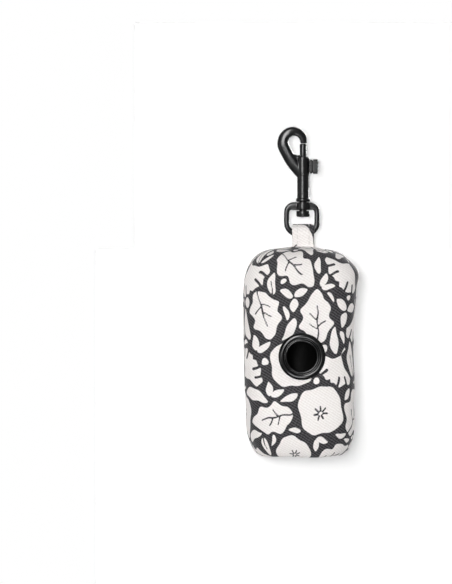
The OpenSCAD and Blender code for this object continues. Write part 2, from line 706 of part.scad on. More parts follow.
// The slider's outer plate with turned-down flanges and the crown that carries the pull.
module zip_slider() color(black) translate([pouch_x, slider_y, slider_mid_z]) {
    flange_w = 0.7;
    plate_r = 1;
    union() {
        rotate([-90, 0, 0]) linear_extrude(slider_t) union() {
            square([slider_w - 2 * plate_r, slider_h], center = true);
            square([slider_w, slider_h - 2 * plate_r], center = true);
            for (i = [-1, 1]) for (j = [-1, 1])
                translate([i * (slider_w / 2 - plate_r), j * (slider_h / 2 - plate_r)])
                    circle(plate_r, $fn = 24);
        }
        for (side = [-1, 1]) translate([
            side > 0 ? slider_w / 2 - flange_w : -slider_w / 2,
            tape_y + slide_gap - slider_y, -slider_h / 2 + plate_r
        ]) cube([flange_w, slider_y - tape_y - slide_gap + 0.3, slider_h - 2 * plate_r]);
        for (side = [-1, 1]) translate([-crown_w / 2, slider_t - 0.1, side * (crown_len / 2 - 0.5) - 0.5])
            cube([crown_w, crown_gap + 0.2, 1]);
        translate([-crown_w / 2, slider_t + crown_gap, -crown_len / 2])
            cube([crown_w, crown_t, crown_len]);
    }
}

// The pull hangs from the slider's crown by a crossbar between two arms.
module zip_pull() color(black) translate([pouch_x, pull_y, slider_mid_z]) {
    arm_w = 0.95;
    plate_top = -norm([crown_len / 2, crown_gap / 2 + crown_t]) - move_gap;
    union() {
        rotate([0, 90, 0]) cylinder(r = pull_t / 2, h = pull_w, center = true, $fn = 32);
        for (side = [-1, 1])
            translate([side > 0 ? pull_w / 2 - arm_w : -pull_w / 2, -pull_t / 2, plate_top - 1])
                cube([arm_w, pull_t, 1 - plate_top]);
        translate([-pull_w / 2, -pull_t / 2, -pull_h + pull_w / 2])
            cube([pull_w, pull_t, pull_h - pull_w / 2 + plate_top]);
        translate([0, pull_t / 2, -pull_h + pull_w / 2]) rotate([90, 0, 0])
            cylinder(r = pull_w / 2, h = pull_t, $fn = 48);
    }
}

// ---- Bag roll ----

module tube(outer, inner, h) {
    difference() {
        cylinder(r = outer, h = h, $fn = 96);
        translate([0, 0, -1]) cylinder(r = inner, h = h + 2, $fn = 96);
    }
}

module roll_core() color(card) translate([pouch_x, roll_y, roll_low_z])
    tube(core_r, core_r - core_wall, roll_h);

module bag_roll() color(film_black) translate([pouch_x, roll_y, roll_low_z])
    tube(roll_r, core_r + press_gap, roll_h);

snap_body();
bolt();
thumb_knob();
bolt_spring();
swivel_rivet();
swivel_ring();
hanging_loop();
loop_stitching();
front_shell();
back_panel_left();
back_panel_right();
seam_binding();
seam_stitching();
port_flange();
port_washer();
zip_tape_left();
zip_tape_right();
zip_teeth_left();
zip_teeth_right();
zip_stitching();
zip_top_stops();
zip_bottom_stop();
zip_slider();
zip_pull();
roll_core();
bag_roll();
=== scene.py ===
# %% [markdown]
# # A soft pouch that feeds bags, hung from a bolt snap
# The object is a zipped fabric pouch with a round port in its front. It hangs by a short fabric
# loop from the swivel ring of a black bolt snap, and a wound roll of bags stands inside.
# The hard facts, such as sizes, bodies and joints, come with the frame. This script gives every
# piece its finished surface: cast metal, moulded plastic, printed knit, webbing, thread and film.
# The working unit in here is the millimetre, and a mesh is scaled to metres when it is made.

# %% Load the frame
import math
import bpy
import numpy as np
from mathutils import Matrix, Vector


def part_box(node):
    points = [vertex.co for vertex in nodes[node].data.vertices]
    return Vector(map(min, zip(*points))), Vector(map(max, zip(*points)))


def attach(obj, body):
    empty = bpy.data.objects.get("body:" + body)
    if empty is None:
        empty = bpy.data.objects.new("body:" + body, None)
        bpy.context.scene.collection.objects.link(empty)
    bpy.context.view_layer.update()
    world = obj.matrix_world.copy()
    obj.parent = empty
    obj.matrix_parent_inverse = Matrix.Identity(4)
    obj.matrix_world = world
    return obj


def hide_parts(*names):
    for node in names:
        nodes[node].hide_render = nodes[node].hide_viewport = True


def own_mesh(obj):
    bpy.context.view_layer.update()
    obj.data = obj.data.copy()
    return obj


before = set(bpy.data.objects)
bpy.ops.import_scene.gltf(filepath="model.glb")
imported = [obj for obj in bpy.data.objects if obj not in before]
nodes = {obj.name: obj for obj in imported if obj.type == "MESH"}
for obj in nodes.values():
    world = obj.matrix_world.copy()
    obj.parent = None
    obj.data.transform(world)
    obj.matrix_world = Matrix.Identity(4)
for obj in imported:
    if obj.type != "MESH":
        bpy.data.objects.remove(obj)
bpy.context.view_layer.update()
MM = 0.001


def node_box(name):
    """Lowest and highest corner of a CAD node, in millimetres."""
    low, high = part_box(name)
    return np.array(low) / MM, np.array(high) / MM


# %% [markdown]
# ## Camera, lights and background
# The camera stands square to the pouch's front, level with the object's middle and a little to
# its left, with a long lens, as for a catalogue picture. The background is white because the
# world and the backdrop show white to the camera, not because more light falls on the object.
# The object would lie on a white table in such a picture. Here it hangs, so one board stands just
# behind the snap and another behind the pouch, which is deeper. They catch the soft shadows of
# the outline, and they are clear from behind.

# %% Camera
VIEW_WIDTH = 169.5
VIEW_DISTANCE = 1600.0
VIEW_X, VIEW_Z = -25.56, -56.3
SENSOR = 36.0
camera_data = bpy.data.cameras.new("camera")
camera_data.sensor_fit = "HORIZONTAL"
camera_data.sensor_width = SENSOR
camera_data.lens = SENSOR * VIEW_DISTANCE / VIEW_WIDTH
camera_data.clip_start = 0.01
camera = bpy.data.objects.new("camera", camera_data)
camera.location = (VIEW_X * MM, -VIEW_DISTANCE * MM, VIEW_Z * MM)
camera.rotation_euler = (math.radians(90), 0, 0)
bpy.context.scene.collection.objects.link(camera)
bpy.context.scene.camera = camera
print("lens", round(camera_data.lens, 1), "mm")

# %% Helpers for meshes
# A mesh is made from whole arrays: its points, and its faces as rows of point numbers.


def new_object(name, points, faces, materials=()):
    """Object from an array of points in millimetres and a list of arrays of faces. Each array
    holds faces of one size, so quads and triangles go in as two arrays. The points and corners
    are handed over with foreach_set."""
    mesh = bpy.data.meshes.new(name)
    points = np.asarray(points, float).reshape(-1, 3)
    faces = [np.asarray(f, np.int32) for f in faces if len(f)]
    corners = np.concatenate([f.ravel() for f in faces])
    sizes = np.concatenate([np.full(len(f), f.shape[1], np.int32) for f in faces])
    starts = np.concatenate([[0], np.cumsum(sizes)[:-1]]).astype(np.int32)
    mesh.vertices.add(len(points))
    mesh.vertices.foreach_set("co", (points * MM).ravel())
    mesh.loops.add(len(corners))
    mesh.loops.foreach_set("vertex_index", corners)
    mesh.polygons.add(len(sizes))
    mesh.polygons.foreach_set("loop_start", starts)
    mesh.polygons.foreach_set("use_smooth", np.ones(len(sizes), bool))
    mesh.update(calc_edges=True)
    mesh.validate()
    for material in materials:
        mesh.materials.append(material)
    obj = bpy.data.objects.new(name, mesh)
    bpy.context.scene.collection.objects.link(obj)
    return obj


def grid_faces(rows, cols, close_rows=False, close_cols=False):
    """Quads of a grid of points numbered row by row. Each quad joins a point to the next column,
    the next row, and back. A closed direction joins its last line to its first."""
    i = np.arange(rows if close_rows else rows - 1)[:, None]
    j = np.arange(cols if close_cols else cols - 1)[None, :]
    i2, j2 = (i + 1) % rows, (j + 1) % cols
    quads = np.stack([i * cols + j, i * cols + j2, i2 * cols + j2, i2 * cols + j], axis=-1)
    return quads.reshape(-1, 4)


def fine_uv(obj, u, v, name="fine"):
    """Writes a UV map from one value of u and of v for each point. Points past the end of u and
    v get 0."""
    mesh = obj.data
    corner = np.empty(len(mesh.loops), np.int32)
    mesh.loops.foreach_get("vertex_index", corner)
    flat = np.stack([np.ravel(u), np.ravel(v)], 1).astype(np.float32)
    flat = np.concatenate([flat, np.zeros((len(mesh.vertices) - len(flat), 2), np.float32)])
    mesh.uv_layers.new(name=name).data.foreach_set("uv", flat[corner].ravel())


def settled(obj):
    """Applies the object's modifiers: its mesh becomes the evaluated one."""
    graph = bpy.context.evaluated_depsgraph_get()
    mesh = bpy.data.meshes.new_from_object(obj.evaluated_get(graph), depsgraph=graph)
    obj.modifiers.clear()
    obj.data = mesh
    return obj


def place_piece(obj, body, source):
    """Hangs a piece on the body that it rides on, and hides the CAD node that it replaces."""
    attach(obj, body)
    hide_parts(source)
    print(obj.name, len(obj.data.vertices), "points,", len(obj.data.polygons), "faces")


# %% Helpers for shader nodes
# A material is a tree of nodes, joined from output sockets to inputs. Each of these helpers adds
# one small step to a tree and gives back the socket to join the next one to.


def feed(tree, target, **inputs):
    """Gives a node its inputs, named as its sockets with _ for a space, or at and a number. A
    socket links, a colour gets an alpha of 1, and any other value is set."""
    for key, value in inputs.items():
        socket = target.inputs[int(key[2:]) if key[:2] == "at" else key.replace("_", " ")]
        if isinstance(value, bpy.types.NodeSocket):
            tree.links.new(value, socket)
        else:
            socket.default_value = (*value, 1) if socket.type == "RGBA" else value


def node(tree, kind, **inputs):
    """New node of a kind. A name that is one of the node's properties sets it, and the others
    are inputs, as in feed()."""
    new = tree.nodes.new("ShaderNode" + kind)
    own = [key for key, value in inputs.items()
           if hasattr(new, key) and not isinstance(value, bpy.types.NodeSocket)]
    for key in own:
        setattr(new, key, inputs.pop(key))
    feed(tree, new, **inputs)
    return new


def maths(tree, operation, *values):
    """Socket with the result of a Math node on sockets and numbers."""
    places = {f"at{i}": value for i, value in enumerate(values)}
    return node(tree, "Math", operation=operation, **places).outputs[0]


def scaled(tree, vector, scale):
    """Socket with a vector or a colour times a number."""
    return node(tree, "VectorMath", operation="SCALE", at0=vector, Scale=scale).outputs[0]


def noise(tree, place, scale, detail, **more):
    """Socket with fractal noise, from about 0 to 1."""
    return node(tree, "TexNoise", Vector=place, Scale=scale, Detail=detail, **more).outputs["Fac"]


def spread(tree, value, start, end, low=0.0, high=1.0):
    """Socket that goes from low to high as a value goes from start to end, and stays there."""
    return node(tree, "MapRange", Value=value, From_Min=start, From_Max=end, To_Min=low,
                To_Max=high).outputs[0]


def mixed(tree, share, first, second):
    """Socket with a colour between two, each a socket or three numbers."""
    return node(tree, "Mix", data_type="RGBA", Factor=share, at6=first, at7=second).outputs[2]


def bumped(tree, strength, depth_mm, height):
    """Socket with the surface's direction over a relief of a depth in millimetres."""
    return node(tree, "Bump", Strength=strength, Distance=depth_mm * MM, Height=height).outputs[0]


def own_place(tree):
    """Socket with the object coordinates in millimetres."""
    return scaled(tree, node(tree, "TexCoord").outputs["Object"], 1000.0)


# %% Stage: backdrop, world and lamps
BOARD_GREY = 0.9


def backdrop_material(name, glow):
    """White paint with a faint glow on the face towards the front, and clear from behind."""
    material = bpy.data.materials.new(name)
    material.use_nodes = True
    tree = material.node_tree
    tree.nodes.clear()
    both = node(tree, "AddShader",
                at0=node(tree, "BsdfDiffuse", Color=[BOARD_GREY] * 3).outputs[0],
                at1=node(tree, "Emission", Strength=glow).outputs[0])
    side = node(tree, "MixShader", at0=node(tree, "NewGeometry").outputs["Backfacing"],
                at1=both.outputs[0], at2=node(tree, "BsdfTransparent").outputs[0])
    node(tree, "OutputMaterial", Surface=side.outputs[0])
    return material


def backdrop(name, y, low, high, glow):
    """Upright board at a depth, between two corners (x, z). Only the camera sees it."""
    wx, wz = np.meshgrid([low[0], high[0]], [low[1], high[1]])
    obj = new_object(name, np.stack([wx, np.full_like(wx, y), wz], axis=-1), [grid_faces(2, 2)],
                     [backdrop_material(name + "_white", glow)])
    obj.visible_diffuse = obj.visible_glossy = obj.visible_shadow = False
    obj.visible_transmission = False
    return obj


# A board's paint and its faint glow add up to just above white where no shadow falls. The glow
# is stronger low down, where less light arrives.
# The boards are only as large as the shadows, and the one behind the pouch clears its back, so
# that they hide nothing in a view from the side.
backdrop("board_high", 5.0, (-60.0, -40.0), (80.0, 45.0), 0.1)
backdrop("board_low", 19.2, (-75.0, -175.0), (95.0, -40.0), 0.2)

ROOM_LIGHT = 0.06
world = bpy.data.worlds.new("studio")
bpy.context.scene.world = world
world.use_nodes = True
tree = world.node_tree
tree.nodes.clear()
path = node(tree, "LightPath").outputs
seen = maths(tree, "MAXIMUM", path["Is Camera Ray"], path["Is Glossy Ray"])
seen = maths(tree, "MAXIMUM", seen, path["Is Transmission Ray"])
room = node(tree, "Background", Color=(0.96, 0.98, 1.0), Strength=ROOM_LIGHT).outputs[0]
white = node(tree, "Background", Color=(1, 1, 1), Strength=1.0).outputs[0]
sky = node(tree, "MixShader", at0=seen, at1=room, at2=white)
node(tree, "OutputWorld", Surface=sky.outputs[0])


def softbox(name, place, width, power, height=None, colour=(1, 1, 1)):
    """Area lamp at place, turned to face the object, all in millimetres, square unless a height
    is given. It lights cloth and boards, and doesn't show in shiny surfaces."""
    lamp = bpy.data.lights.new(name, "AREA")
    lamp.shape = "RECTANGLE"
    lamp.size = width * MM
    lamp.size_y = (height or width) * MM
    lamp.energy = power
    lamp.color = colour
    obj = bpy.data.objects.new(name, lamp)
    place, aim = np.array(place, float), np.array([0.0, 0.0, -70.0])
    obj.location = place * MM
    d = (aim - place) / np.linalg.norm(aim - place)
    obj.rotation_euler = (math.acos(-d[2]), 0, math.atan2(-d[0], d[1]))
    obj.visible_glossy = False
    bpy.context.scene.collection.objects.link(obj)
    return obj


def reflector(name, place, width, height, radiance):
    """Softbox that only shows in shiny surfaces, with so much light from each spot of it."""
    power = radiance * math.pi * width * height * MM * MM
    obj = softbox(name, place, width, power, height)
    obj.visible_glossy, obj.visible_diffuse = True, False
    return obj


softbox("key", (-200, -900, 90), 280, 3.3, colour=(1.0, 0.995, 0.985))
softbox("front", (-50, -1150, -60), 220, 8.3)
reflector("key_shine", (-230, -850, 330), 330, 820, 78)
reflector("low_shine", (-120, -780, -560), 460, 260, 47)
reflector("side_shine", (-900, -420, -160), 200, 500, 8)
# Lamps behind the boards light the rounded sides and the back, and not the boards.
softbox("left_rim", (-400, 130, -60), 260, 0.6)
softbox("right_rim", (420, 130, -60), 260, 0.6)
softbox("low_rim", (0, 150, -480), 260, 0.9)
softbox("high_rim", (0, 150, 300), 260, 0.4)
softbox("back_left", (-440, 640, 60), 300, 2.2)
softbox("back_right", (440, 640, -20), 300, 2.2)
reflector("back_shine", (300, 820, 300), 330, 700, 24)
bpy.context.scene.view_settings.view_transform = "Standard"
print("stage: two boards, world,", len(bpy.data.lights), "lamps")

# %% [markdown]
# ## The print on the fabric
# The knit is printed in off-white on charcoal with cut-paper leaves: ginkgo fans, lobed leaves,
# almond leaves, buds and berries. A picture of it isn't needed. Each motif is an outline on the
# flat cloth, in millimetres, and a point's print value is its signed distance to the nearest
# outline, positive in the white. The value varies almost linearly from point to point, so that a
# material can cut it at zero and get a crisp edge between mesh points.

# %% Print: outlines of the motifs


def turn_about(points, angle, shift):
    """Points turned by angle in degrees, and then moved by shift."""
    c, s = math.cos(math.radians(angle)), math.sin(math.radians(angle))
    return points @ np.array([[c, s], [-s, c]]) + np.asarray(shift, float)


def leaf_outline(length, width, lobes=0, depth=0.3, bend=0.0):
    """Closed outline of a leaf along x. Its half width is sin(pi * t^0.8)^0.75 of width / 2 at
    the share t of its length, and a lobed leaf takes away depth * (1 - cos(2 pi lobes t)) / 2.
    Its middle line bows by bend * length * sin(pi t)."""
    t = np.linspace(0, 1, 36)
    half = width / 2 * np.sin(np.pi * t ** 0.8) ** 0.75
    half = half * (1 - depth * (1 - np.cos(2 * np.pi * lobes * t)) / 2 * (lobes > 0))
    bow = bend * length * np.sin(np.pi * t)
    upper = np.stack([length * (t - 0.5), bow + half], axis=1)
    lower = np.stack([length * (t - 0.5), bow - half], axis=1)[::-1]
    return np.concatenate([upper, lower[1:-1]])


def fan_outline(radius, half_angle):
    """Closed outline of a ginkgo fan that opens along x from a short stem. Its rim is an arc of
    the given half angle in degrees, whose radius ripples and has a notch in the middle."""
    a = np.radians(np.linspace(-half_angle, half_angle, 41))
    share = a / math.radians(half_angle)
    rim = radius * (1 + 0.035 * np.cos(5 * np.pi * share) - 0.10 * share ** 6
                    - 0.16 * np.exp(-(share / 0.07) ** 2))
    arc = np.stack([rim * np.cos(a), rim * np.sin(a)], axis=1)
    s = np.linspace(1, 0, 10)[1:, None]
    side = arc[-1] * s + np.array([0.05, -0.10]) * radius * np.sin(np.pi * s)
    stem = np.array([[-0.32 * radius, 0.035 * radius], [-0.32 * radius, -0.035 * radius]])
    mirrored = (side * [1, -1])[::-1]
    return np.concatenate([arc, side, stem, mirrored]) - [0.45 * radius, 0]


def round_outline(radius, ripple=0.05, waves=3, points=22):
    """Closed outline of a berry: a circle whose radius ripples a little."""
    a = np.linspace(0, 2 * np.pi, points, endpoint=False)
    r = radius * (1 + ripple * np.cos(waves * a))
    return np.stack([r * np.cos(a), r * np.sin(a)], axis=1)


def inside_distance(p, outline):
    """Signed distance of points p to a closed outline, positive inside: the distance to the
    nearest edge, with the sign from how many edges a ray along +x crosses."""
    a, b = outline, np.roll(outline, -1, axis=0)
    ab = b - a
    ap = p[:, None, :] - a[None]
    t = np.clip((ap * ab).sum(-1) / (ab * ab).sum(-1), 0, 1)
    near = np.sqrt(((ap - t[..., None] * ab) ** 2).sum(-1).min(1))
    above = (a[None, :, 1] > p[:, None, 1]) != (b[None, :, 1] > p[:, None, 1])
    slope = np.where(ab[:, 1] == 0, 1e-9, ab[:, 1])
    cross = p[:, None, 0] < a[None, :, 0] + ap[..., 1] / slope * ab[:, 0]
    return np.where((above & cross).sum(1) % 2 == 1, near, -near)


def stroke_distance(p, start, end):
    """Distance of points p to the straight stroke from start to end."""
    d = end - start
    t = np.clip(((p - start) @ d) / (d @ d), 0, 1)
    return np.sqrt(((p - start - t[:, None] * d) ** 2).sum(1))


def rays(angles, near, far, half, centre=(0.0, 0.0)):
    """Charcoal strokes that run outward from a centre, as (start, end, half width)."""
    out = []
    for angle in angles:
        c, s = math.cos(math.radians(angle)), math.sin(math.radians(angle))
        out.append(((centre[0] + near * c, centre[1] + near * s),
                    (centre[0] + far * c, centre[1] + far * s), half))
    return out


def motif(kind, size):
    """Outlines and charcoal strokes of one motif about its own middle, about size across."""
    if kind == "fan":
        r = 0.62 * size
        return [fan_outline(r, 62)], rays((-40, -20, 22, 42), 0.72 * r, 1.25 * r, 0.026 * size,
                                          (-0.45 * r, 0.0))
    if kind == "lobed":
        veins = [((-0.5 * size, 0), (0.2 * size, 0), 0.3)]
        for x, y in ((-0.16, 0.17), (0.02, 0.15), (-0.12, -0.16)):
            veins.append(((x * size - 0.08 * size, 0), (x * size + 0.03 * size, y * size), 0.27))
        return [leaf_outline(size, 0.72 * size, 3, 0.3, 0.03)], veins
    if kind == "poppyseed":
        seeds = rays(range(10, 370, 52), 0.05 * size, 0.14 * size, 0.019 * size,
                     (0.05 * size, 0.02 * size))
        return [round_outline(0.5 * size, 0.07, 4, 36)], seeds
    if kind == "leaf":
        return [leaf_outline(size, 0.40 * size, 0, 0, 0.06)], [
            ((-0.5 * size, 0), (0.1 * size, 0.06 * size), 0.26)]
    if kind == "plain":
        return [leaf_outline(size, 0.36 * size, 0, 0, 0.08)], []
    if kind == "twin":
        pair = leaf_outline(0.62 * size, 0.27 * size)
        return [turn_about(pair, 32, (0.05 * size, 0.19 * size)),
                turn_about(pair * 0.95, -34, (0.02 * size, -0.19 * size))], []
    if kind == "trio":
        bud = leaf_outline(0.46 * size, 0.25 * size)
        return [turn_about(bud, a, (0.27 * size * math.cos(math.radians(a)),
                                    0.27 * size * math.sin(math.radians(a))))
                for a in (8, 128, 247)], []
    return [round_outline(0.5 * size)], []


# %% Print: layout
# The large motifs stand on a loose grid of staggered rows. The others are then dropped one by one
# where most cloth is free: each tries a few turns and takes the largest size that keeps its gap.
GAP = 0.9
CLOTH_U, CLOTH_V = 78.0, 62.0
CELL = 1.0
# Motifs further apart than this don't count with one another.
FREE = 14.0
GRID_U, GRID_V = np.meshgrid(np.arange(-CLOTH_U, CLOTH_U + CELL, CELL),
                             np.arange(-CLOTH_V, CLOTH_V + CELL, CELL))


def free_at(free, p):
    """Free distance at points p, from its grid by the nearest four cells. Off the grid it is 0."""
    x = np.clip((p[:, 0] + CLOTH_U) / CELL, 0, free.shape[1] - 1.001)
    y = np.clip((p[:, 1] + CLOTH_V) / CELL, 0, free.shape[0] - 1.001)
    i, j = x.astype(int), y.astype(int)
    fx, fy = x - i, y - j
    return ((free[j, i] * (1 - fx) + free[j, i + 1] * fx) * (1 - fy)
            + (free[j + 1, i] * (1 - fx) + free[j + 1, i + 1] * fx) * fy)


def placed_outlines(row):
    """A layout row's outlines, on the cloth."""
    kind, size, x, y, angle = row
    return [turn_about(o, angle, (x, y)) for o in motif(kind, size)[0]]


def mark_taken(free, row):
    """Lowers the free distance round a motif that was placed."""
    for outline in placed_outlines(row):
        near = ((GRID_U > outline[:, 0].min() - FREE) & (GRID_U < outline[:, 0].max() + FREE)
                & (GRID_V > outline[:, 1].min() - FREE) & (GRID_V < outline[:, 1].max() + FREE))
        p = np.stack([GRID_U[near], GRID_V[near]], 1)
        free[near] = np.minimum(free[near], -inside_distance(p, outline))


def fitted(free, kind, size, x, y, turns, sizes):
    """The largest version of a motif that fits at a place, as a layout row, or None."""
    for share in sizes:
        for angle in turns:
            row = (kind, size * share, x, y, angle)
            if all(free_at(free, o).min() > GAP for o in placed_outlines(row)):
                return row
    return None


LARGE = {"poppyseed": 18.5, "lobed": 20.5, "fan": 21.0}
ROW_STEP, ROW_MARGIN = 19.5, 6.0


def print_layout():
    """Rows of kind, size, place and turn for all the motifs on the cloth."""
    rng = np.random.default_rng(11)
    free = np.full(GRID_U.shape, FREE)
    rows = []
    big = ("poppyseed", "lobed", "fan", "lobed", "fan")
    for j, v in enumerate(np.arange(-CLOTH_V + ROW_MARGIN, CLOTH_V, ROW_STEP * 0.9)):
        start = -CLOTH_U + ROW_MARGIN + (j % 2) * ROW_STEP / 2
        for i, u in enumerate(np.arange(start, CLOTH_U, ROW_STEP)):
            kind = big[(2 * i + 3 * j + int(rng.integers(0, 2))) % len(big)]
            x, y = u + rng.uniform(-2.4, 2.4), v + rng.uniform(-2.0, 2.0)
            size = LARGE[kind] * rng.uniform(0.85, 1.1)
            turns = rng.uniform(0, 360) + np.array([0, 45, 90, 150, 200, 270])
            row = fitted(free, kind, size, x, y, turns, (1.0, 0.9, 0.8, 0.7, 0.6))
            if row:
                rows.append(row)
                mark_taken(free, row)
    for _ in range(420):
        open_cloth = free + 0.25 * np.sin(GRID_U * 1.7 + GRID_V * 2.3)
        j, i = np.unravel_index(np.argmax(open_cloth), free.shape)
        x, y, room = GRID_U[j, i], GRID_V[j, i], free[j, i]
        if room < GAP + 1.0:
            break
        kinds = ("trio", "leaf", "twin") if room > 4.6 else (
            ("leaf", "plain", "twin") if room > 3.0 else ("plain", "berry", "plain"))
        kind = kinds[int(rng.integers(0, 3))]
        turns = rng.uniform(0, 360) + np.arange(0, 360, 30)
        row = fitted(free, kind, room * (2.0 if kind == "berry" else 4.2), x, y, turns,
                     np.linspace(1, 0.3, 15))
        row = row or fitted(free, "berry", 2 * (room - GAP) * 0.93, x, y, (0,), (1.0, 0.9, 0.8))
        if row:
            rows.append(row)
            mark_taken(free, row)
        else:
            free[j, i] = 0.0
    return rows


LAYOUT = print_layout()
print("print:", len(LAYOUT), "motifs")

# %% Print: its value at a point of the cloth
# Further than REACH from a motif the value stays level, and OFF_PRINT marks what isn't printed.
REACH, OFF_PRINT = 2.0, -3.0


def print_value(u, v):
    """Signed distance of cloth points to the print's edges, positive in the white. Strokes cut
    their motif: the value there is the distance to the stroke's edge, if that is smaller."""
    p = np.stack([np.ravel(u), np.ravel(v)], axis=1)
    # Hand-cut edges wander a little.
    p = p + 0.22 * np.stack([np.sin(0.9 * p[:, 1] + 0.4 * p[:, 0]),
                             np.sin(1.1 * p[:, 0] - 0.3 * p[:, 1])], 1)
    value = np.full(len(p), -REACH)
    for kind, size, x, y, angle in LAYOUT:
        outlines, strokes = motif(kind, size)
        outlines = [turn_about(o, angle, (x, y)) for o in outlines]
        low = np.min([o.min(0) for o in outlines], axis=0) - REACH
        high = np.max([o.max(0) for o in outlines], axis=0) + REACH
        near = np.flatnonzero(((p > low) & (p < high)).all(1))
        if not len(near):
            continue
        q = p[near]
        own = np.max([inside_distance(q, o) for o in outlines], axis=0)
        for start, end, half in strokes:
            a, b = turn_about(np.array([start, end]), angle, (x, y))
            own = np.minimum(own, stroke_distance(q, a, b) - half)
        value[near] = np.maximum(value[near], own)
    return value.reshape(np.shape(u))


def write_print(obj, values):
    """Stores the print's value at each point. Points past the end of values aren't printed."""
    both = np.full(len(obj.data.vertices), OFF_PRINT, np.float32)
    both[:np.size(values)] = np.ravel(values)
    obj.data.attributes.new("print", "FLOAT", "POINT").data.foreach_set("value", both)


# %% [markdown]
# ## Materials: what they share
# Cloth, cast metal and moulded plastic each have a texture that is finer than a mesh can carry.
# A node group works such a texture out once, from a place on the surface, and each material sets
# its own scale and strength. A group only puts out values and colours, and the Principled shader
# stays in the material.

# %% Helpers for materials and groups
def new_material(name):
    """Material with a Principled shader. Returns the material, its node tree and the shader."""
    material = bpy.data.materials.new(name)
    material.use_nodes = True
    tree = material.node_tree
    return material, tree, tree.nodes["Principled BSDF"]


def new_group(name, inputs, outputs):
    """Shader node group with named sockets. Inputs are (name, kind, value) and outputs are
    (name, kind). Returns the group, its input node and its output node."""
    group = bpy.data.node_groups.new(name, "ShaderNodeTree")
    for label, kind, value in inputs:
        socket = group.interface.new_socket(label, in_out="INPUT", socket_type="NodeSocket" + kind)
        if value is not None:
            socket.default_value = value
    for label, kind in outputs:
        group.interface.new_socket(label, in_out="OUTPUT", socket_type="NodeSocket" + kind)
    return group, group.nodes.new("NodeGroupInput"), group.nodes.new("NodeGroupOutput")


# %% Group: knit
# The knit's face: fine ribs that run slantwise, crossed by finer stitches, and bent a little by
# noise so that no rib is straight. Rib is 0 between ribs and 1 on them.
knit, g_in, g_out = new_group(
    "knit_ribs", [("Place", "Vector", None), ("Pitch", "Float", 0.92), ("Slant", "Float", 0.52)],
    [("Rib", "Float")])
place = g_in.outputs["Place"]
bend = noise(knit, place, 0.5, 2.0)
grit = noise(knit, place, 1.7, 3.0, Roughness=0.7)
turn = node(knit, "VectorRotate", rotation_type="Z_AXIS", Vector=place,
            Angle=g_in.outputs["Slant"])
flat = node(knit, "SeparateXYZ", Vector=turn.outputs[0]).outputs
per = maths(knit, "DIVIDE", 2 * math.pi, g_in.outputs["Pitch"])
waves = []
# The ribs, then the stitches across them: direction, density and how far noise bends them.
for socket, share, warp in ((flat["Y"], 1.0, 5.0), (flat["X"], 0.8, 9.0)):
    slower = maths(knit, "MULTIPLY", maths(knit, "MULTIPLY", socket, per), share)
    waves.append(maths(knit, "SINE", maths(knit, "MULTIPLY_ADD", bend, warp, slower)))
cross = maths(knit, "MULTIPLY_ADD", waves[1], 0.35, waves[0])
rib = spread(knit, maths(knit, "MULTIPLY_ADD", grit, 3.0, cross), 0.2, 2.8)
feed(knit, g_out, Rib=rib)
print("group", knit.name)

# %% Material: printed knit
# The print's value and the cloth's flat coordinates come from the mesh. The value is cut at
# zero, with a little noise because ink bleeds along a yarn, and mixes charcoal with off-white.


INK_BLEED, INK_START, INK_FULL = 0.22, 0.03, 0.19


def knit_material(name, light, dark):
    """Printed knit in two colours, read from the attribute "print" and the UV map, in which one
    unit is 100 mm of cloth. light and dark are each (between ribs, on ribs): the colour between
    ribs is darker, painted shade in the knit's grooves, and the one on the ribs lighter, a painted
    highlight on their crests."""
    material, tree, shader = new_material(name)
    cloth = scaled(tree, node(tree, "UVMap", uv_map="cloth").outputs[0], 100.0)
    rib = node(tree, "Group", node_tree=knit, Place=cloth).outputs["Rib"]
    value = node(tree, "Attribute", attribute_name="print", attribute_type="GEOMETRY")
    bleed = noise(tree, cloth, 2.4, 2.0)
    edge = maths(tree, "MULTIPLY_ADD", bleed, INK_BLEED, value.outputs["Fac"])
    ink = spread(tree, edge, INK_START, INK_FULL)
    # Between the ribs each colour is darker, painted shade; on them it is lighter, a painted
    # highlight.
    colour = mixed(tree, ink, mixed(tree, rib, *dark), mixed(tree, rib, *light))
    level = spread(tree, noise(tree, cloth, 0.07, 2.0), 0.3, 0.7, 0.97, 1.0)
    feed(tree, shader, Base_Color=scaled(tree, colour, level), Roughness=0.85,
         Normal=bumped(tree, 0.5, 0.09, rib), Specular_IOR_Level=0.08, Sheen_Weight=0.10,
         Sheen_Roughness=0.5)
    return material


# Each print colour is a pair: darker between the ribs as painted shade, lighter on them as a
# painted highlight.
OFF_WHITE = ((0.79, 0.747, 0.727), (0.92, 0.89, 0.875))
CHARCOAL = ((0.003, 0.0028, 0.0035), (0.070, 0.0655, 0.072))
printed = knit_material("printed_knit", OFF_WHITE, CHARCOAL)

lining, tree, shader = new_material("black_lining")
ribs = node(tree, "Group", node_tree=knit, Place=own_place(tree), Pitch=0.7, Slant=0.2)
rib = ribs.outputs["Rib"]
# The lining is darker between its ribs: painted shade in the knit's grooves.
feed(tree, shader, Base_Color=spread(tree, rib, 0, 1, 0.003, 0.009), Roughness=0.95,
     Normal=bumped(tree, 0.4, 0.1, rib), Specular_IOR_Level=0.1)
print("materials:", printed.name, lining.name)

# %% [markdown]
# ## The pouch
# The pouch is a soft box of foam-backed knit: a front panel and two back panels, sewn right side
# in and turned, so that every seam is a narrow groove between two rounded lips. A plain box with
# bevels looks hard. Here one function gives a point of the cloth from two lengths: how far round
# the pouch it lies, and how far up. The panels are grids of those two lengths, so that a seam, a
# slit or a hole is a line of the grid, and the print lies on the cloth without stretching.

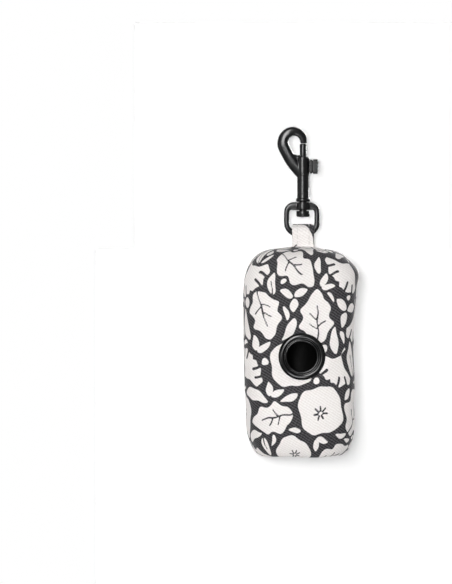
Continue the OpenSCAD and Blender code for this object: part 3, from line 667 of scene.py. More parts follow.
# %% Pouch: measures from the frame
front_low, front_high = node_box("front_shell")
POUCH_X = (front_low[0] + front_high[0]) / 2
TOP_HALF = (front_high[0] - front_low[0]) / 2
BASE_HALF = TOP_HALF - 1.1
FRONT_D = -front_low[1]
BACK_D = node_box("back_panel_left")[1][1]
LOW_Z, TOP_Z = front_low[2] + 0.5, front_high[2]
flange_low, flange_high = node_box("port_flange")
PORT_Z = (flange_low[2] + flange_high[2]) / 2
FLANGE_R = (flange_high[2] - flange_low[2]) / 2
BASE_ROUND, BASE_ROUND_H, TOP_ROUND, TOP_DEPTH_SHARE = 6.2, 14.0, 12.0, 0.75
CROWN, BASE_SAG = 1.2, 0.3
SHOULDER_Z = TOP_Z - CROWN - TOP_ROUND
FRONT_POWER, BACK_POWER = 3.7, 4.2
WALL = 2.4
LIP = 0.75
# The profile's first and last ring are this share of the full section, and a pole closes each.
POLE_GAP = 0.012
print("pouch", round(2 * TOP_HALF, 2), "wide,", round(TOP_Z - LOW_Z, 2), "high,",
      round(FRONT_D + BACK_D, 2), "deep; port at", round(POUCH_X, 2), round(PORT_Z, 2))


# %% Pouch: the surface as a function of two lengths
def pouch_profile():
    """The upright profile as a dense table: share of the section, inset in width, inset in depth
    and height, with the length up the front's middle line. The base sags a little, rounds up over
    a quarter ellipse, runs straight, rounds in at the shoulder and domes to the crown."""
    k = np.linspace(POLE_GAP, 1, 200)
    a = np.radians(np.linspace(0, 90, 200))
    base = np.stack([k, 0 * k + BASE_ROUND, 0 * k + BASE_ROUND, LOW_Z + BASE_SAG * k ** 2], 1)
    foot = np.stack([1 + 0 * a, BASE_ROUND * (1 - np.sin(a)), BASE_ROUND * (1 - np.sin(a)),
                     LOW_Z + BASE_SAG + (BASE_ROUND_H - BASE_SAG) * (1 - np.cos(a))], 1)
    z = np.linspace(LOW_Z + BASE_ROUND_H, SHOULDER_Z, 400)[:, None]
    side = np.concatenate([1 + 0 * z, 0 * z, 0 * z, z], 1)
    neck = np.stack([1 + 0 * a, TOP_ROUND * (1 - np.cos(a)),
                     TOP_ROUND * TOP_DEPTH_SHARE * (1 - np.cos(a)),
                     SHOULDER_Z + TOP_ROUND * np.sin(a)], 1)
    k = k[::-1]
    crown = np.stack([k, 0 * k + TOP_ROUND, 0 * k + TOP_ROUND * TOP_DEPTH_SHARE,
                      SHOULDER_Z + TOP_ROUND + CROWN * (1 - k ** 2)], 1)
    table = np.concatenate([base, foot[1:], side[1:], neck[1:], crown[1:]])
    y = table[:, 0] * (FRONT_D - table[:, 2])
    steps = np.hypot(np.diff(y), np.diff(table[:, 3]))
    return table, np.concatenate([[0], np.cumsum(steps)])


def section_table(depth, power):
    """Angle from the middle of a face against the length round the widest section, whose points
    are (half width * sin^(2/power), depth * cos^(2/power))."""
    a = np.radians(np.linspace(0, 90, 3000))
    x = TOP_HALF * np.sin(a) ** (2 / power)
    y = depth * np.cos(a) ** (2 / power)
    return a, np.concatenate([[0], np.cumsum(np.hypot(np.diff(x), np.diff(y)))])


PROFILE, PROFILE_V = pouch_profile()
FRONT_A, FRONT_U = section_table(FRONT_D, FRONT_POWER)
BACK_A, BACK_U = section_table(BACK_D, BACK_POWER)
SEAM_U = FRONT_U[-1]
BACK_MID_U = SEAM_U + BACK_U[-1]
SHARE, INSET, INSET_Y, HEIGHT = range(4)
wall_rows = (PROFILE[:, SHARE] == 1) & (PROFILE[:, INSET] == 0)
PORT_V = np.interp(PORT_Z, PROFILE[wall_rows, HEIGHT], PROFILE_V[wall_rows])


def profile_at(v, column):
    """A column of the upright profile at a length up the pouch."""
    return np.interp(v, PROFILE_V, PROFILE[:, column])


# Under the port's flange the cloth is pressed in, and next to it a soft ridge stands up.
PRESS, PRESS_FADE, RIDGE, RIDGE_OFF = 0.62, 3.0, 0.16, 2.6


def soft_shape(u, v, edge):
    """How far the cloth stands out from the plain form, in millimetres: long shallow waves of the
    stuffed cloth, and a dip under the port's flange, which is pressed into it. Both fade towards
    a seam, with the distance edge to it."""
    waves = (0.20 * np.sin(0.13 * u + 1.3) * np.sin(0.083 * v + 0.4)
             + 0.12 * np.sin(0.24 * u - 0.15 * v + 2.1) + 0.07 * np.sin(0.31 * v + 0.21 * u + 0.7))
    d = np.hypot(u, v - PORT_V)
    t = np.clip((d - FLANGE_R + 0.4) / PRESS_FADE, 0, 1)
    press = PRESS * (1 - t * t * (3 - 2 * t))
    ridge = RIDGE * np.exp(-((d - FLANGE_R - RIDGE_OFF) / 1.6) ** 2)
    return (waves * np.clip((d - FLANGE_R) / 6, 0, 1) - press + ridge) * np.clip(edge / 4, 0, 1)


# How the stuffed sides stand out from the even taper: rows of amount, height and width.
RIGHT_BUMPS = ((-1.75, -76, 19), (-0.45, -101, 12), (0.75, -48.9, 3.4), (-0.4, -43.4, 2.6))
LEFT_BUMPS = ((0.3, -76, 20), (-0.62, -49.3, 5.2), (-0.3, -104, 14))


def outline_bump(z, bumps):
    """Sum of amount * exp(-((z - height) / width)^2) over the rows of a table."""
    return sum(amount * np.exp(-((z - height) / width) ** 2) for amount, height, width in bumps)


def pouch_base(u, v):
    """Point of the plain cloth surface: u is the length round from the front's middle, positive
    towards +X, and v is the length up. The width narrows to the base, and each side swells and
    draws in by its own bumps."""
    k, inset, inset_y, z = (profile_at(v, column) for column in (SHARE, INSET, INSET_Y, HEIGHT))
    side = np.sign(u)
    w = np.abs(u)
    front = w <= SEAM_U
    a_front = np.interp(np.minimum(w, SEAM_U), FRONT_U, FRONT_A)
    a_back = np.interp(np.clip(BACK_MID_U - w, 0, None), BACK_U, BACK_A)
    a = np.where(front, a_front, a_back)
    power = np.where(front, FRONT_POWER, BACK_POWER)
    depth = np.where(front, FRONT_D, BACK_D)
    t = np.clip((z - LOW_Z) / (SHOULDER_Z - LOW_Z), 0, 1)
    half = BASE_HALF + (TOP_HALF - BASE_HALF) * t
    waist = np.where(side > 0, outline_bump(z, RIGHT_BUMPS), outline_bump(z, LEFT_BUMPS))
    x = side * k * (half + waist - inset) * np.sin(a) ** (2 / power)
    y = k * (depth - inset_y) * np.cos(a) ** (2 / power) * np.where(front, -1, 1)
    return np.stack([POUCH_X + x, y, z], -1)


def pouch_normal(u, v):
    """Outward direction of the plain surface, from the steps to points a little way along u and
    along v."""
    e = 0.02
    du = pouch_base(u + e, v) - pouch_base(u - e, v)
    dv = pouch_base(u, np.minimum(v + e, PROFILE_V[-1])) - pouch_base(u, np.maximum(v - e, 0))
    n = np.cross(du, dv)
    return n / np.maximum(np.linalg.norm(n, axis=-1, keepdims=True), 1e-12)


print("round the pouch:", round(2 * BACK_MID_U, 1), "mm; up the front:",
      round(PROFILE_V[-1], 1), "mm")


# %% Pouch: the cloth's flat coordinates
CAP_LOW_V, CAP_TOP_V = PROFILE_V[np.flatnonzero(PROFILE[:, SHARE] == 1)[[0, -1]]]


JOIN_HALF = 0.45


def cloth_place(u, v, base):
    """Where a point lies on the flat printed cloth, and how near it lies to a join of the print.
    On the walls these are its two lengths. The base and the crown take their plan instead, carried
    on from the front, since the lengths round the pouch shrink to nothing there. The print is
    joined along the rim of the plan, except in front, where both agree."""
    low, high = v < CAP_LOW_V, v > CAP_TOP_V
    plan_u = base[..., 0] - POUCH_X
    plan_v = np.where(v < PORT_V, -base[..., 1], PROFILE_V[-1] + base[..., 1])
    differ = np.hypot(plan_u - u, plan_v - v)
    rim = np.minimum(abs(v - CAP_LOW_V), abs(v - CAP_TOP_V))
    join = rim - JOIN_HALF + 2 * np.clip(2 - differ, 0, 2)
    return np.where(low | high, plan_u, u), np.where(low | high, plan_v, v), join


# %% Pouch: a sewn panel
def lip_drop(distance, radius):
    """How far a turned edge has rolled in at a distance from its seam: a quarter of a circle."""
    r = np.clip(radius - distance, 0, radius)
    return radius - np.sqrt(np.maximum(radius ** 2 - r ** 2, 0))


def panel(name, u, v, edge, hole=None):
    """Closed panel of cloth with its outer and its inner face. u and v are grids of lengths, and
    edge is the grid of distances to the panel's nearest seam. hole is a window of the grid, (row,
    row, column, column), that is left open and walled from face to face."""
    rows, cols = u.shape
    base, normal = pouch_base(u, v), pouch_normal(u, v)
    outer = base + normal * (soft_shape(u, v, edge) - lip_drop(edge, LIP))[..., None]
    inner = base - normal * WALL
    poles = np.array([[POUCH_X, 0, LOW_Z + LIP], [POUCH_X, 0, TOP_Z - LIP],
                      [POUCH_X, 0, LOW_Z + WALL], [POUCH_X, 0, TOP_Z - WALL]])
    n = rows * cols
    index = np.arange(n).reshape(rows, cols)
    quads = np.stack([index[:-1, :-1], index[:-1, 1:], index[1:, 1:], index[1:, :-1]], -1)
    keep = np.ones(quads.shape[:2], bool)
    rims = [index[:, 0][::-1], index[:, -1]]
    if hole:
        r0, r1, c0, c1 = hole
        keep[r0:r1, c0:c1] = False
        rims.append(np.concatenate([index[r0, c0:c1], index[r0:r1, c1], index[r1, c1:c0:-1],
                                    index[r1:r0:-1, c0], index[r0, c0:c0 + 1]]))
    quads = quads[keep]
    walls = [np.stack([r[:-1], r[:-1] + n, r[1:] + n, r[1:]], -1) for r in rims]
    low_out, top_out, low_in, top_in = 2 * n + np.arange(4)
    bottom, top = index[0], index[-1]
    corners = np.array([[bottom[0], bottom[0] + n, low_in, low_out],
                        [bottom[-1] + n, bottom[-1], low_out, low_in],
                        [top[0] + n, top[0], top_out, top_in],
                        [top[-1], top[-1] + n, top_in, top_out]])

    def fan(line, pole, turn):
        """Triangles from a line of points to a pole, turned round for an upper or inner one."""
        tri = np.stack([np.full(cols - 1, pole), line[1:], line[:-1]], -1)
        return tri[:, ::-1] if turn else tri

    tris = np.concatenate([fan(bottom, low_out, False), fan(top, top_out, True),
                           fan(bottom + n, low_in, True), fan(top + n, top_in, False)])
    points = np.concatenate([outer.reshape(-1, 3), inner.reshape(-1, 3), poles])
    outside = [quads, quads[:, ::-1] + n, np.concatenate(walls + [corners])]
    obj = new_object(name, points, outside + [tris], [printed, lining])
    cloth_u, cloth_v, join = cloth_place(u, v, base)
    outer_values = np.minimum(print_value(cloth_u, cloth_v - PORT_V), join).ravel()
    pole_values = print_value(np.zeros(2), np.array([0, PROFILE_V[-1]]) - PORT_V)
    write_print(obj, np.concatenate([outer_values, np.full(n, OFF_PRINT), pole_values]))
    fine_uv(obj, np.tile(cloth_u.ravel() / 100, 2), np.tile(cloth_v.ravel() / 100, 2), "cloth")
    is_lining = np.zeros(len(obj.data.polygons), np.int32)
    is_lining[len(quads):2 * len(quads)] = 1
    obj.data.polygons.foreach_set("material_index", is_lining)
    obj.data.update()
    return obj


# %% Pouch: the front panel, with the port's hole
STEP = 0.46
SEAM_GAP = 0.06
HOLE_HALF = 6.0
HOLE_R = 6.55
HOLE_BLEND = 17.0


def seam_shift(side, v):
    """How far forward of the widest line the seam lies, in millimetres. It wanders, most of all
    low down on the left."""
    z = profile_at(v, HEIGHT)
    if side < 0:
        shift = -0.9 + 3.2 * np.exp(-((z + 108) / 15) ** 2) + 0.5 * np.sin(0.09 * v)
    else:
        shift = -0.3 + 2.6 * np.exp(-((z + 56) / 13) ** 2) + 0.4 * np.sin(0.11 * v + 1)
    on_wall = np.clip((profile_at(v, SHARE) - 0.9) / 0.1, 0, 1)
    return shift * on_wall * np.clip(1 - profile_at(v, INSET) / 6, 0, 1)


def around_port(u, v):
    """Moves the grid's lengths so that a square window about the port becomes a round hole: along
    each ray from the port, the window's edge moves to HOLE_R and HOLE_BLEND stays."""
    dx, dz = u, v - PORT_V
    d = np.hypot(dx, dz)
    safe = np.maximum(d, 1e-6)
    square = HOLE_HALF * safe / np.maximum(np.maximum(np.abs(dx), np.abs(dz)), 1e-6)
    moved = HOLE_R + (d - square) * (HOLE_BLEND - HOLE_R) / (HOLE_BLEND - square)
    scale = np.where(d < HOLE_BLEND, np.where(d < square, HOLE_R / square, moved / safe), 1.0)
    return dx * scale, PORT_V + dz * scale


def even_steps(start, middle, end, step, half):
    """Lengths from start to end about step apart, with exact values at middle - half and
    middle + half."""
    parts = [(start, middle - half), (middle - half, middle + half), (middle + half, end)]
    out = [np.linspace(a, b, max(2, round((b - a) / step)) + 1)[:-1] for a, b in parts]
    return np.concatenate(out + [[end]])


v_line = even_steps(0, PORT_V, PROFILE_V[-1], STEP, HOLE_HALF)
t_line = even_steps(-SEAM_U, 0, SEAM_U, STEP, HOLE_HALF) / SEAM_U
tt, vv = np.meshgrid(t_line, v_line)
reach_left = SEAM_U - seam_shift(-1, vv)
reach_right = SEAM_U - seam_shift(1, vv)
blend = np.clip((np.abs(tt) - 0.45) / 0.55, 0, 1)
shorter = np.where(tt < 0, reach_left, reach_right)
uu = tt * (SEAM_U + (shorter - SEAM_U) * blend)
uu, vv = around_port(uu, vv)
at_seam = pouch_base(shorter * np.sign(tt + 1e-9), vv)
distance = np.abs(pouch_base(uu, vv)[..., 1] - at_seam[..., 1])
window = (*(int(np.argmin(np.abs(v_line - PORT_V - d))) for d in (-HOLE_HALF, HOLE_HALF)),
          *(int(np.argmin(np.abs(t_line * SEAM_U - d))) for d in (-HOLE_HALF, HOLE_HALF)))
pouch_front = panel("pouch_front", uu, vv, np.maximum(distance - SEAM_GAP, 0), window)
place_piece(pouch_front, "pouch", "front_shell")


# %% Pouch: the two back panels, with the zip's slit between them
tape_low, tape_high = node_box("zip_tape_left")
SLIT_LOW, SLIT_TOP = tape_low[2] + 1.2, tape_high[2] - 1.2
SLIT_HALF = 3.9
SLIT_END = 1.6


def slit_half(v):
    """Half the gap between the back panels at a height: the slit's half width, closing over a
    quarter ellipse at each end, and a bare seam elsewhere."""
    z = profile_at(v, HEIGHT)
    end = np.minimum(z - SLIT_LOW, SLIT_TOP - z)
    t = np.clip(end / SLIT_END, 0, 1)
    return SEAM_GAP + (SLIT_HALF - SEAM_GAP) * np.sqrt(1 - (1 - t) ** 2)


def back_panel(name, side, replaced):
    """One back panel: from the side seam, which may lie forward of the widest line, round to the
    middle line or the slit."""
    columns = round((BACK_MID_U - SEAM_U) / (STEP * 1.1))
    t = np.linspace(0, 1, columns + 1)
    tt, vv = np.meshgrid(t, v_line)
    start = SEAM_U - seam_shift(side, vv)
    end = BACK_MID_U - slit_half(vv)
    uu = side * (start + (end - start) * tt)
    place = pouch_base(uu, vv)
    to_seam = np.abs(place[..., 1] - pouch_base(side * start, vv)[..., 1])
    to_middle = np.abs(place[..., 0] - pouch_base(side * end, vv)[..., 0])
    edge = np.maximum(np.minimum(to_seam - SEAM_GAP, to_middle), 0)
    if side < 0:
        uu, vv, edge = uu[:, ::-1], vv[:, ::-1], edge[:, ::-1]
    place_piece(panel(name, uu, vv, edge), "pouch", replaced)


back_panel("pouch_back_right", 1, "back_panel_right")
back_panel("pouch_back_left", -1, "back_panel_left")


# %% [markdown]
# ## Turned, swept and cast pieces
# The hard pieces are cast, moulded or turned on a lathe, so they are made the same way here. A
# turned piece is a profile taken round an axis, and a bent bar is a section taken along a path. A
# cast body is several of these run together: a fine voxel skin encloses them all, and a few
# smoothing passes leave fillets at the joins, as molten metal does. Bores and slots are cut last.

# %% Helpers for turned and swept pieces


def facing_out(points, faces):
    """Faces in the order that makes them face outward. The enclosed volume is a sixth of the sum
    of a . (b x c) over the triangles, and all faces are turned round where that is negative."""
    total = 0.0
    for f in faces:
        for i in range(1, f.shape[1] - 1):
            a, b, c = points[f[:, 0]], points[f[:, i]], points[f[:, i + 1]]
            total += (a * np.cross(b, c)).sum()
    return [f[:, ::-1] for f in faces] if total < 0 else faces


def evened(path, step, passes=0, closed=False):
    """Path resampled at about even steps along its length, which its first two columns measure.
    Each pass then moves a point halfway to the mean of its neighbours, so that kinks round off."""
    path = np.asarray(path, float)
    if closed:
        path = np.concatenate([path, path[:1]])
    steps = np.linalg.norm(np.diff(path[:, :2], axis=0), axis=1)
    length = np.concatenate([[0], np.cumsum(steps)])
    s = np.linspace(0, length[-1], max(3, round(length[-1] / step)) + 1)
    out = np.stack([np.interp(s, length, column) for column in path.T], 1)
    out = out[:-1] if closed else out
    for _ in range(passes):
        moved = out / 2 + (np.roll(out, 1, 0) + np.roll(out, -1, 0)) / 4
        if not closed:
            moved[[0, -1]] = out[[0, -1]]
        out = moved
    return out


def end_fans(count, total):
    """Triangles from a tube's first and last ring, of count points each, to two points that
    follow its total of points."""
    i = np.arange(count)
    j, last = (i + 1) % count, total - count
    return np.concatenate([np.stack([0 * i + total, j, i], -1),
                           np.stack([0 * i + total + 1, last + i, last + j], -1)])


def turned(profile, sides, centre, forward=False):
    """Points and faces of a profile turned about an axis through centre. Its rows are radius and
    height. A profile that starts and ends on the axis closes in two poles, and any other is a
    closed ring. The axis is +Z, or -Y where forward is set."""
    profile = np.asarray(profile, float)
    poles = profile[0, 0] == 0
    rings = profile[1:-1] if poles else profile
    a = np.linspace(0, 2 * np.pi, sides, endpoint=False)
    r, z = rings[:, :1], rings[:, 1:]
    points = np.stack([r * np.cos(a), r * np.sin(a), z + 0 * a], -1).reshape(-1, 3)
    faces = [grid_faces(len(rings), sides, not poles, True)]
    if poles:
        faces.append(end_fans(sides, len(points)))
        points = np.concatenate([points, [[0, 0, profile[0, 1]], [0, 0, profile[-1, 1]]]])
    if forward:
        points = points[:, [0, 2, 1]] * [1, -1, 1]
    return points + centre, facing_out(points, faces)


def swept(sections, closed=False):
    """Points and faces of a tube through sections, an array of (section, point, xyz). An open
    tube is capped by a fan at each end."""
    m, c = sections.shape[:2]
    points = sections.reshape(-1, 3)
    faces = [grid_faces(m, c, closed, True)]
    if not closed:
        faces.append(end_fans(c, m * c))
        points = np.concatenate([points, [sections[0].mean(0), sections[-1].mean(0)]])
    return points, facing_out(points, faces)


def power_round(sides, power):
    """Superellipse of half size 1: the cosine and the sine of even angles, each to 2 / power."""
    a = np.linspace(0, 2 * np.pi, sides, endpoint=False)
    c, s = np.cos(a), np.sin(a)
    return np.sign(c) * abs(c) ** (2 / power), np.sign(s) * abs(s) ** (2 / power)


def bar(path, half_depth, power, sides, closed=False, tilt=0.0):
    """Sections of a bar along a path in the XZ plane. Path rows are x, z and half thickness.
    half_depth is the half size along Y, one number or one for each station. tilt makes the bar
    deeper by that share on the side left of its heading, and shallower on the other."""
    if closed:
        d = np.roll(path, -1, 0) - np.roll(path, 1, 0)
    else:
        d = np.gradient(path, axis=0)
    d = d[:, :2] / np.linalg.norm(d[:, :2], axis=1, keepdims=True)
    c, s = power_round(sides, power)
    x = path[:, :1] + d[:, 1:] * path[:, 2:3] * c
    z = path[:, 1:2] - d[:, :1] * path[:, 2:3] * c
    y = -np.broadcast_to(half_depth, len(path))[:, None] * s * (1 - tilt * c)
    return np.stack([x, y, z], -1)


def joined(parts):
    """Several parts, each (points, faces), as one."""
    points, faces, start = [], [], 0
    for p, fs in parts:
        points.append(p)
        faces += [f + start for f in fs]
        start += len(p)
    return np.concatenate(points), faces


# An edge between faces that meet at more than this angle stays sharp. A cast bar's section is a
# superellipse of this power, between an oval and a box.
SHARP_ANGLE = math.radians(42)
BAR_POWER = 2.7


def cast(obj, voxel, passes, material, cutters=()):
    """Gives an object a cast skin: a voxel remesh that runs its closed parts together, smoothing
    passes for the fillets, and then a cut by each of the closed cutters, (points, faces)."""
    remesh = obj.modifiers.new("skin", "REMESH")
    remesh.mode, remesh.voxel_size = "VOXEL", voxel * MM
    smooth = obj.modifiers.new("fillets", "SMOOTH")
    smooth.factor, smooth.iterations = 0.5, passes
    tools = [new_object("cutter", *part) for part in cutters]
    for tool in tools:
        cut = obj.modifiers.new("cut", "BOOLEAN")
        cut.operation, cut.solver, cut.object = "DIFFERENCE", "EXACT", tool
    settled(obj)
    for tool in tools:
        bpy.data.objects.remove(tool)
    mesh = obj.data
    mesh.materials.clear()
    mesh.materials.append(material)
    mesh.polygons.foreach_set("use_smooth", np.ones(len(mesh.polygons), bool))
    mesh.polygons.foreach_set("material_index", np.zeros(len(mesh.polygons), np.int32))
    mesh.set_sharp_from_angle(angle=SHARP_ANGLE)
    return obj


def traced(name, source):
    """New object with a copy of a CAD node's mesh, its points welded, to be given a cast skin."""
    obj = bpy.data.objects.new(name, nodes[source].data.copy())
    bpy.context.scene.collection.objects.link(obj)
    obj.modifiers.new("weld", "WELD").merge_threshold = 0.002 * MM
    return settled(obj)


# %% Group: paint skin
# Baked paint over a casting: a soft orange peel, finer grit in it, a roughness that varies where
# hands have polished it, and a mask of small scuffs, which a material keeps to its edges.
skin, g_in, g_out = new_group(
    "paint_skin", [("Place", "Vector", None), ("Peel", "Float", 1.5)],
    [("Height", "Float"), ("Polish", "Float"), ("Scuff", "Float")])
place = g_in.outputs["Place"]
peel = noise(skin, place, g_in.outputs["Peel"], 1.0)
grit = noise(skin, place, 11.0, 2.0)
scuffs = noise(skin, place, 2.6, 5.0, Roughness=0.7)
feed(skin, g_out, Height=maths(skin, "MULTIPLY_ADD", grit, 0.22, peel),
     Polish=noise(skin, place, 0.35, 3.0), Scuff=spread(skin, scuffs, 0.5, 0.66))
print("group", skin.name)


# %% Materials: painted metal, plastics and wire
def coated_material(name, colour, bare, rough, peel, bump_mm, edge):
    """Coated or moulded hard surface. rough is the roughness where it is polished and where it is
    dull, peel and bump_mm are the grain's scale and depth, bare is the colour that shows on
    scuffed edges, and edge is how much of it shows."""
    material, tree, shader = new_material(name)
    look = node(tree, "Group", node_tree=skin, Place=own_place(tree), Peel=peel).outputs
    rim = spread(tree, node(tree, "NewGeometry").outputs["Pointiness"], 0.52, 0.6, 0.0, edge)
    worn = maths(tree, "MULTIPLY", rim, look["Scuff"])
    feed(tree, shader, Base_Color=mixed(tree, worn, colour, bare),
         Roughness=spread(tree, look["Polish"], 0.35, 0.65, *rough),
         Normal=bumped(tree, 0.5, bump_mm, look["Height"]), Specular_IOR_Level=0.09)
    return material


paint = coated_material("satin_black_paint", (0.0035, 0.0035, 0.0038), (0.06, 0.06, 0.063),
                        (0.22, 0.30), 1.5, 0.006, 0.3)
port_plastic = coated_material("port_plastic", (0.0025, 0.0025, 0.0028), (0.02, 0.02, 0.02),
                               (0.16, 0.22), 0.8, 0.005, 0.12)
tooth_plastic = coated_material("tooth_plastic", (0.010, 0.010, 0.011), (0.03, 0.03, 0.03),
                                (0.36, 0.46), 2.4, 0.01, 0.15)

# Drawn wire has fine streaks across, which a stretched noise gives.
wire, tree, shader = new_material("drawn_wire")
stretch = node(tree, "Mapping", Vector=own_place(tree), Scale=(0.4, 0.4, 9.0))
streak = noise(tree, stretch.outputs[0], 1.0, 3.0)
feed(tree, shader, Base_Color=spread(tree, streak, 0, 1, 0.42, 0.62),
     Roughness=spread(tree, streak, 0, 1, 0.22, 0.42), Metallic=1.0)
print("materials:", paint.name, port_plastic.name, tooth_plastic.name, wire.name)


def recast(name, source, body, voxel, passes, cutters=()):
    """Painted casting that replaces a CAD node and follows its shape."""
    piece = cast(traced(name, source), voxel, passes, paint, cutters)
    place_piece(piece, body, source)

# %% [markdown]
# ## The bolt snap
# The snap is one zinc casting: a hooked bar that thickens from its tip to its back, slants down
# into a barrel and runs into it in a wide fillet. The barrel is bored for the bolt and slotted for
# the thumb knob. The bolt is turned, the knob is cast with a waist and grip bars, and a coil of
# wire pushes both up. The paint rounds all edges a little.

# %% Snap: the body
bolt_low, bolt_high = node_box("bolt")
AXIS_X = (bolt_low[0] + bolt_high[0]) / 2
AXIS = np.array([AXIS_X, 0.0, 0.0])
FOOT_Z = node_box("snap_body")[0][2]
MOUTH_Z, BOSS_LOW_Z = -5.55, -12.0
EYE_R, TIP_DROP = 2.25, 0.55
TIP_HALF, CROWN_HALF, BACK_HALF, LIMB_HALF = 1.3, 1.7, 2.0, 2.15
LIMB_BOW = 0.6
TIP_DEPTH, HOOK_DEPTH = 1.3, 1.85
BORE_R = 1.27


def hook_stations():
    """Stations along the hook, [x, z, half thickness]: a rounded tip, an arc about the eye at the
    distance eye radius + half thickness, and a limb that bows out on its way to the barrel."""
    deg = np.linspace(0, 201, 90)
    a = np.radians(deg)
    half = np.interp(deg, [0, 90, 180, 201], [TIP_HALF, CROWN_HALF, BACK_HALF, BACK_HALF + 0.15])
    arc = np.stack([(EYE_R + half) * np.cos(a), (EYE_R + half) * np.sin(a), half], 1)
    start, goal = arc[-1], np.array([AXIS_X - 0.15, BOSS_LOW_Z - 0.5, 2.0])
    run = goal - start
    out = np.array([run[1], -run[0]]) / np.hypot(run[0], run[1]) * LIMB_BOW
    swell = np.array([*out, LIMB_HALF - (start[2] + goal[2]) / 2])
    t = np.linspace(0, 1, 50)[1:, None]
    limb = start + run * t + swell * np.sin(np.pi * t)
    tip_x = EYE_R + TIP_HALF
    tip = [[tip_x, -TIP_DROP, TIP_HALF - 0.45], [tip_x, -TIP_DROP + 0.12, TIP_HALF - 0.18],
           [tip_x, -TIP_DROP + 0.35, TIP_HALF]]
    return np.concatenate([tip, evened(np.concatenate([arc, limb]), 0.25, 6)])


stations = hook_stations()
along = np.concatenate([[0], np.cumsum(np.linalg.norm(np.diff(stations[:, :2], axis=0), axis=1))])
depths = TIP_DEPTH + (HOOK_DEPTH - TIP_DEPTH) * np.clip(along / 8.5, 0, 1)
# The rounded tip narrows in depth too.
depths[:2] *= [0.66, 0.87]
hook = swept(bar(stations, depths, BAR_POWER, 48, tilt=0.16))
# A web fills the corner between the limb and the barrel's mouth, so that the eye ends round.
web_path = evened([[-1.5, -4.4, 0.75], [-0.3, -5.35, 0.95], [0.95, -6.0, 1.15], [2.2, -6.2, 1.2]],
                  0.25, 6)
web = swept(bar(web_path, 1.5, 2.2, 32))
barrel = turned([
    (0, FOOT_Z), (2.5, FOOT_Z), (2.64, FOOT_Z + 0.06), (2.7, FOOT_Z + 0.2), (2.7, FOOT_Z + 0.95),
    (2.62, FOOT_Z + 1.12), (2.42, FOOT_Z + 1.22), (2.28, FOOT_Z + 1.36), (2.2, FOOT_Z + 1.62),
    (2.2, BOSS_LOW_Z - 0.5), (2.28, BOSS_LOW_Z - 0.25), (2.42, BOSS_LOW_Z),
    (2.45, BOSS_LOW_Z + 0.3), (2.45, MOUTH_Z - 0.45), (2.36, MOUTH_Z - 0.18), (2.16, MOUTH_Z),
    (0, MOUTH_Z)], 72, AXIS)
bore = turned([(0, FOOT_Z - 1), (BORE_R, FOOT_Z - 1), (BORE_R, MOUTH_Z - 0.2),
               (BORE_R + 0.15, MOUTH_Z + 0.1), (BORE_R + 0.15, MOUTH_Z + 1), (0, MOUTH_Z + 1)],
              56, AXIS)
SLOT_HALF, SLOT_LOW, SLOT_TOP = 0.8, -17.3, -6.3
oval_y, oval_z = power_round(40, 2)
slot_y = SLOT_HALF * oval_y
slot_z = (SLOT_LOW + SLOT_TOP) / 2 + SLOT_HALF * oval_z + np.sign(oval_z) * (
    (SLOT_TOP - SLOT_LOW) / 2 - SLOT_HALF)
knob_slot = swept(np.stack([np.stack([0 * slot_y + AXIS_X + x, slot_y, slot_z], -1)
                            for x in (0.3, 4.0)]))
snap_piece = new_object("snap_casting", *joined([hook, web, barrel]))
cast(snap_piece, 0.11, 26, paint, (bore, knob_slot))
place_piece(snap_piece, "snap", "snap_body")

# %% Snap: bolt, knob, rivet and spring
def lathed(name, source, body, sides, profile):
    """Painted piece that is turned about the snap's axis."""
    piece = new_object(name, *turned(profile, sides, AXIS), [paint])
    piece.data.set_sharp_from_angle(angle=SHARP_ANGLE)
    place_piece(piece, body, source)


lathed("snap_bolt", "bolt", "bolt", 64, [
    (0, bolt_low[2]), (0.95, bolt_low[2]), (1.22, bolt_low[2] + 0.3), (1.22, bolt_high[2] - 0.34),
    (1.17, bolt_high[2] - 0.16), (1.04, bolt_high[2] - 0.04), (0.88, bolt_high[2]),
    (0, bolt_high[2])])
recast("snap_knob", "thumb_knob", "bolt", 0.065, 5)

HEAD_TOP = -25.92
HEAD_LOW = HEAD_TOP - 2.25
lathed("snap_rivet", "swivel_rivet", "snap", 72, [
    (0, HEAD_LOW + 0.02), (1.4, HEAD_LOW), (2.05, HEAD_LOW + 0.06), (2.36, HEAD_LOW + 0.24),
    (2.48, HEAD_LOW + 0.5), (2.5, HEAD_TOP - 0.3), (2.44, HEAD_TOP - 0.1), (2.28, HEAD_TOP),
    (1.4, HEAD_TOP), (1.4, FOOT_Z), (1.26, FOOT_Z), (1.26, FOOT_Z + 1.8), (0.97, FOOT_Z + 2),
    (0, FOOT_Z + 2)])

# The spring stands on the rivet's spigot and ends under the bolt, its end turns closed.
coil_low, coil_high = node_box("bolt_spring")
WIRE_R, COIL_TURNS, BOLT_TRAVEL = 0.15, 8, 5.0
coil_r = (coil_high[0] - coil_low[0]) / 2 - WIRE_R
coil_rise = coil_high[2] - coil_low[2] - 2 * WIRE_R
turn = np.linspace(0, COIL_TURNS, 28 * COIL_TURNS + 1)[:, None]
climb = np.interp(turn, [0, 1, COIL_TURNS - 1, COIL_TURNS],
                  [0, 2.1 * WIRE_R, coil_rise - 2.1 * WIRE_R, coil_rise])
wire_a = -np.linspace(0, 2 * np.pi, 12, endpoint=False)
reach = coil_r + WIRE_R * np.cos(wire_a)
spring_piece = new_object("snap_coil", *swept(np.stack([
    AXIS_X + reach * np.cos(2 * np.pi * turn), reach * np.sin(2 * np.pi * turn),
    coil_low[2] + WIRE_R + climb + WIRE_R * np.sin(wire_a)], -1)), [wire])
place_piece(spring_piece, "snap", "bolt_spring")
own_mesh(spring_piece)

# %% Snap: the swivel ring
ring_low, ring_high = node_box("swivel_ring")
RING_BAR, RING_ARM, RING_DEPTH, SHOULDER_R, RING_FOOT_R = 1.5, 1.0, 1.15, 3.2, 5.2
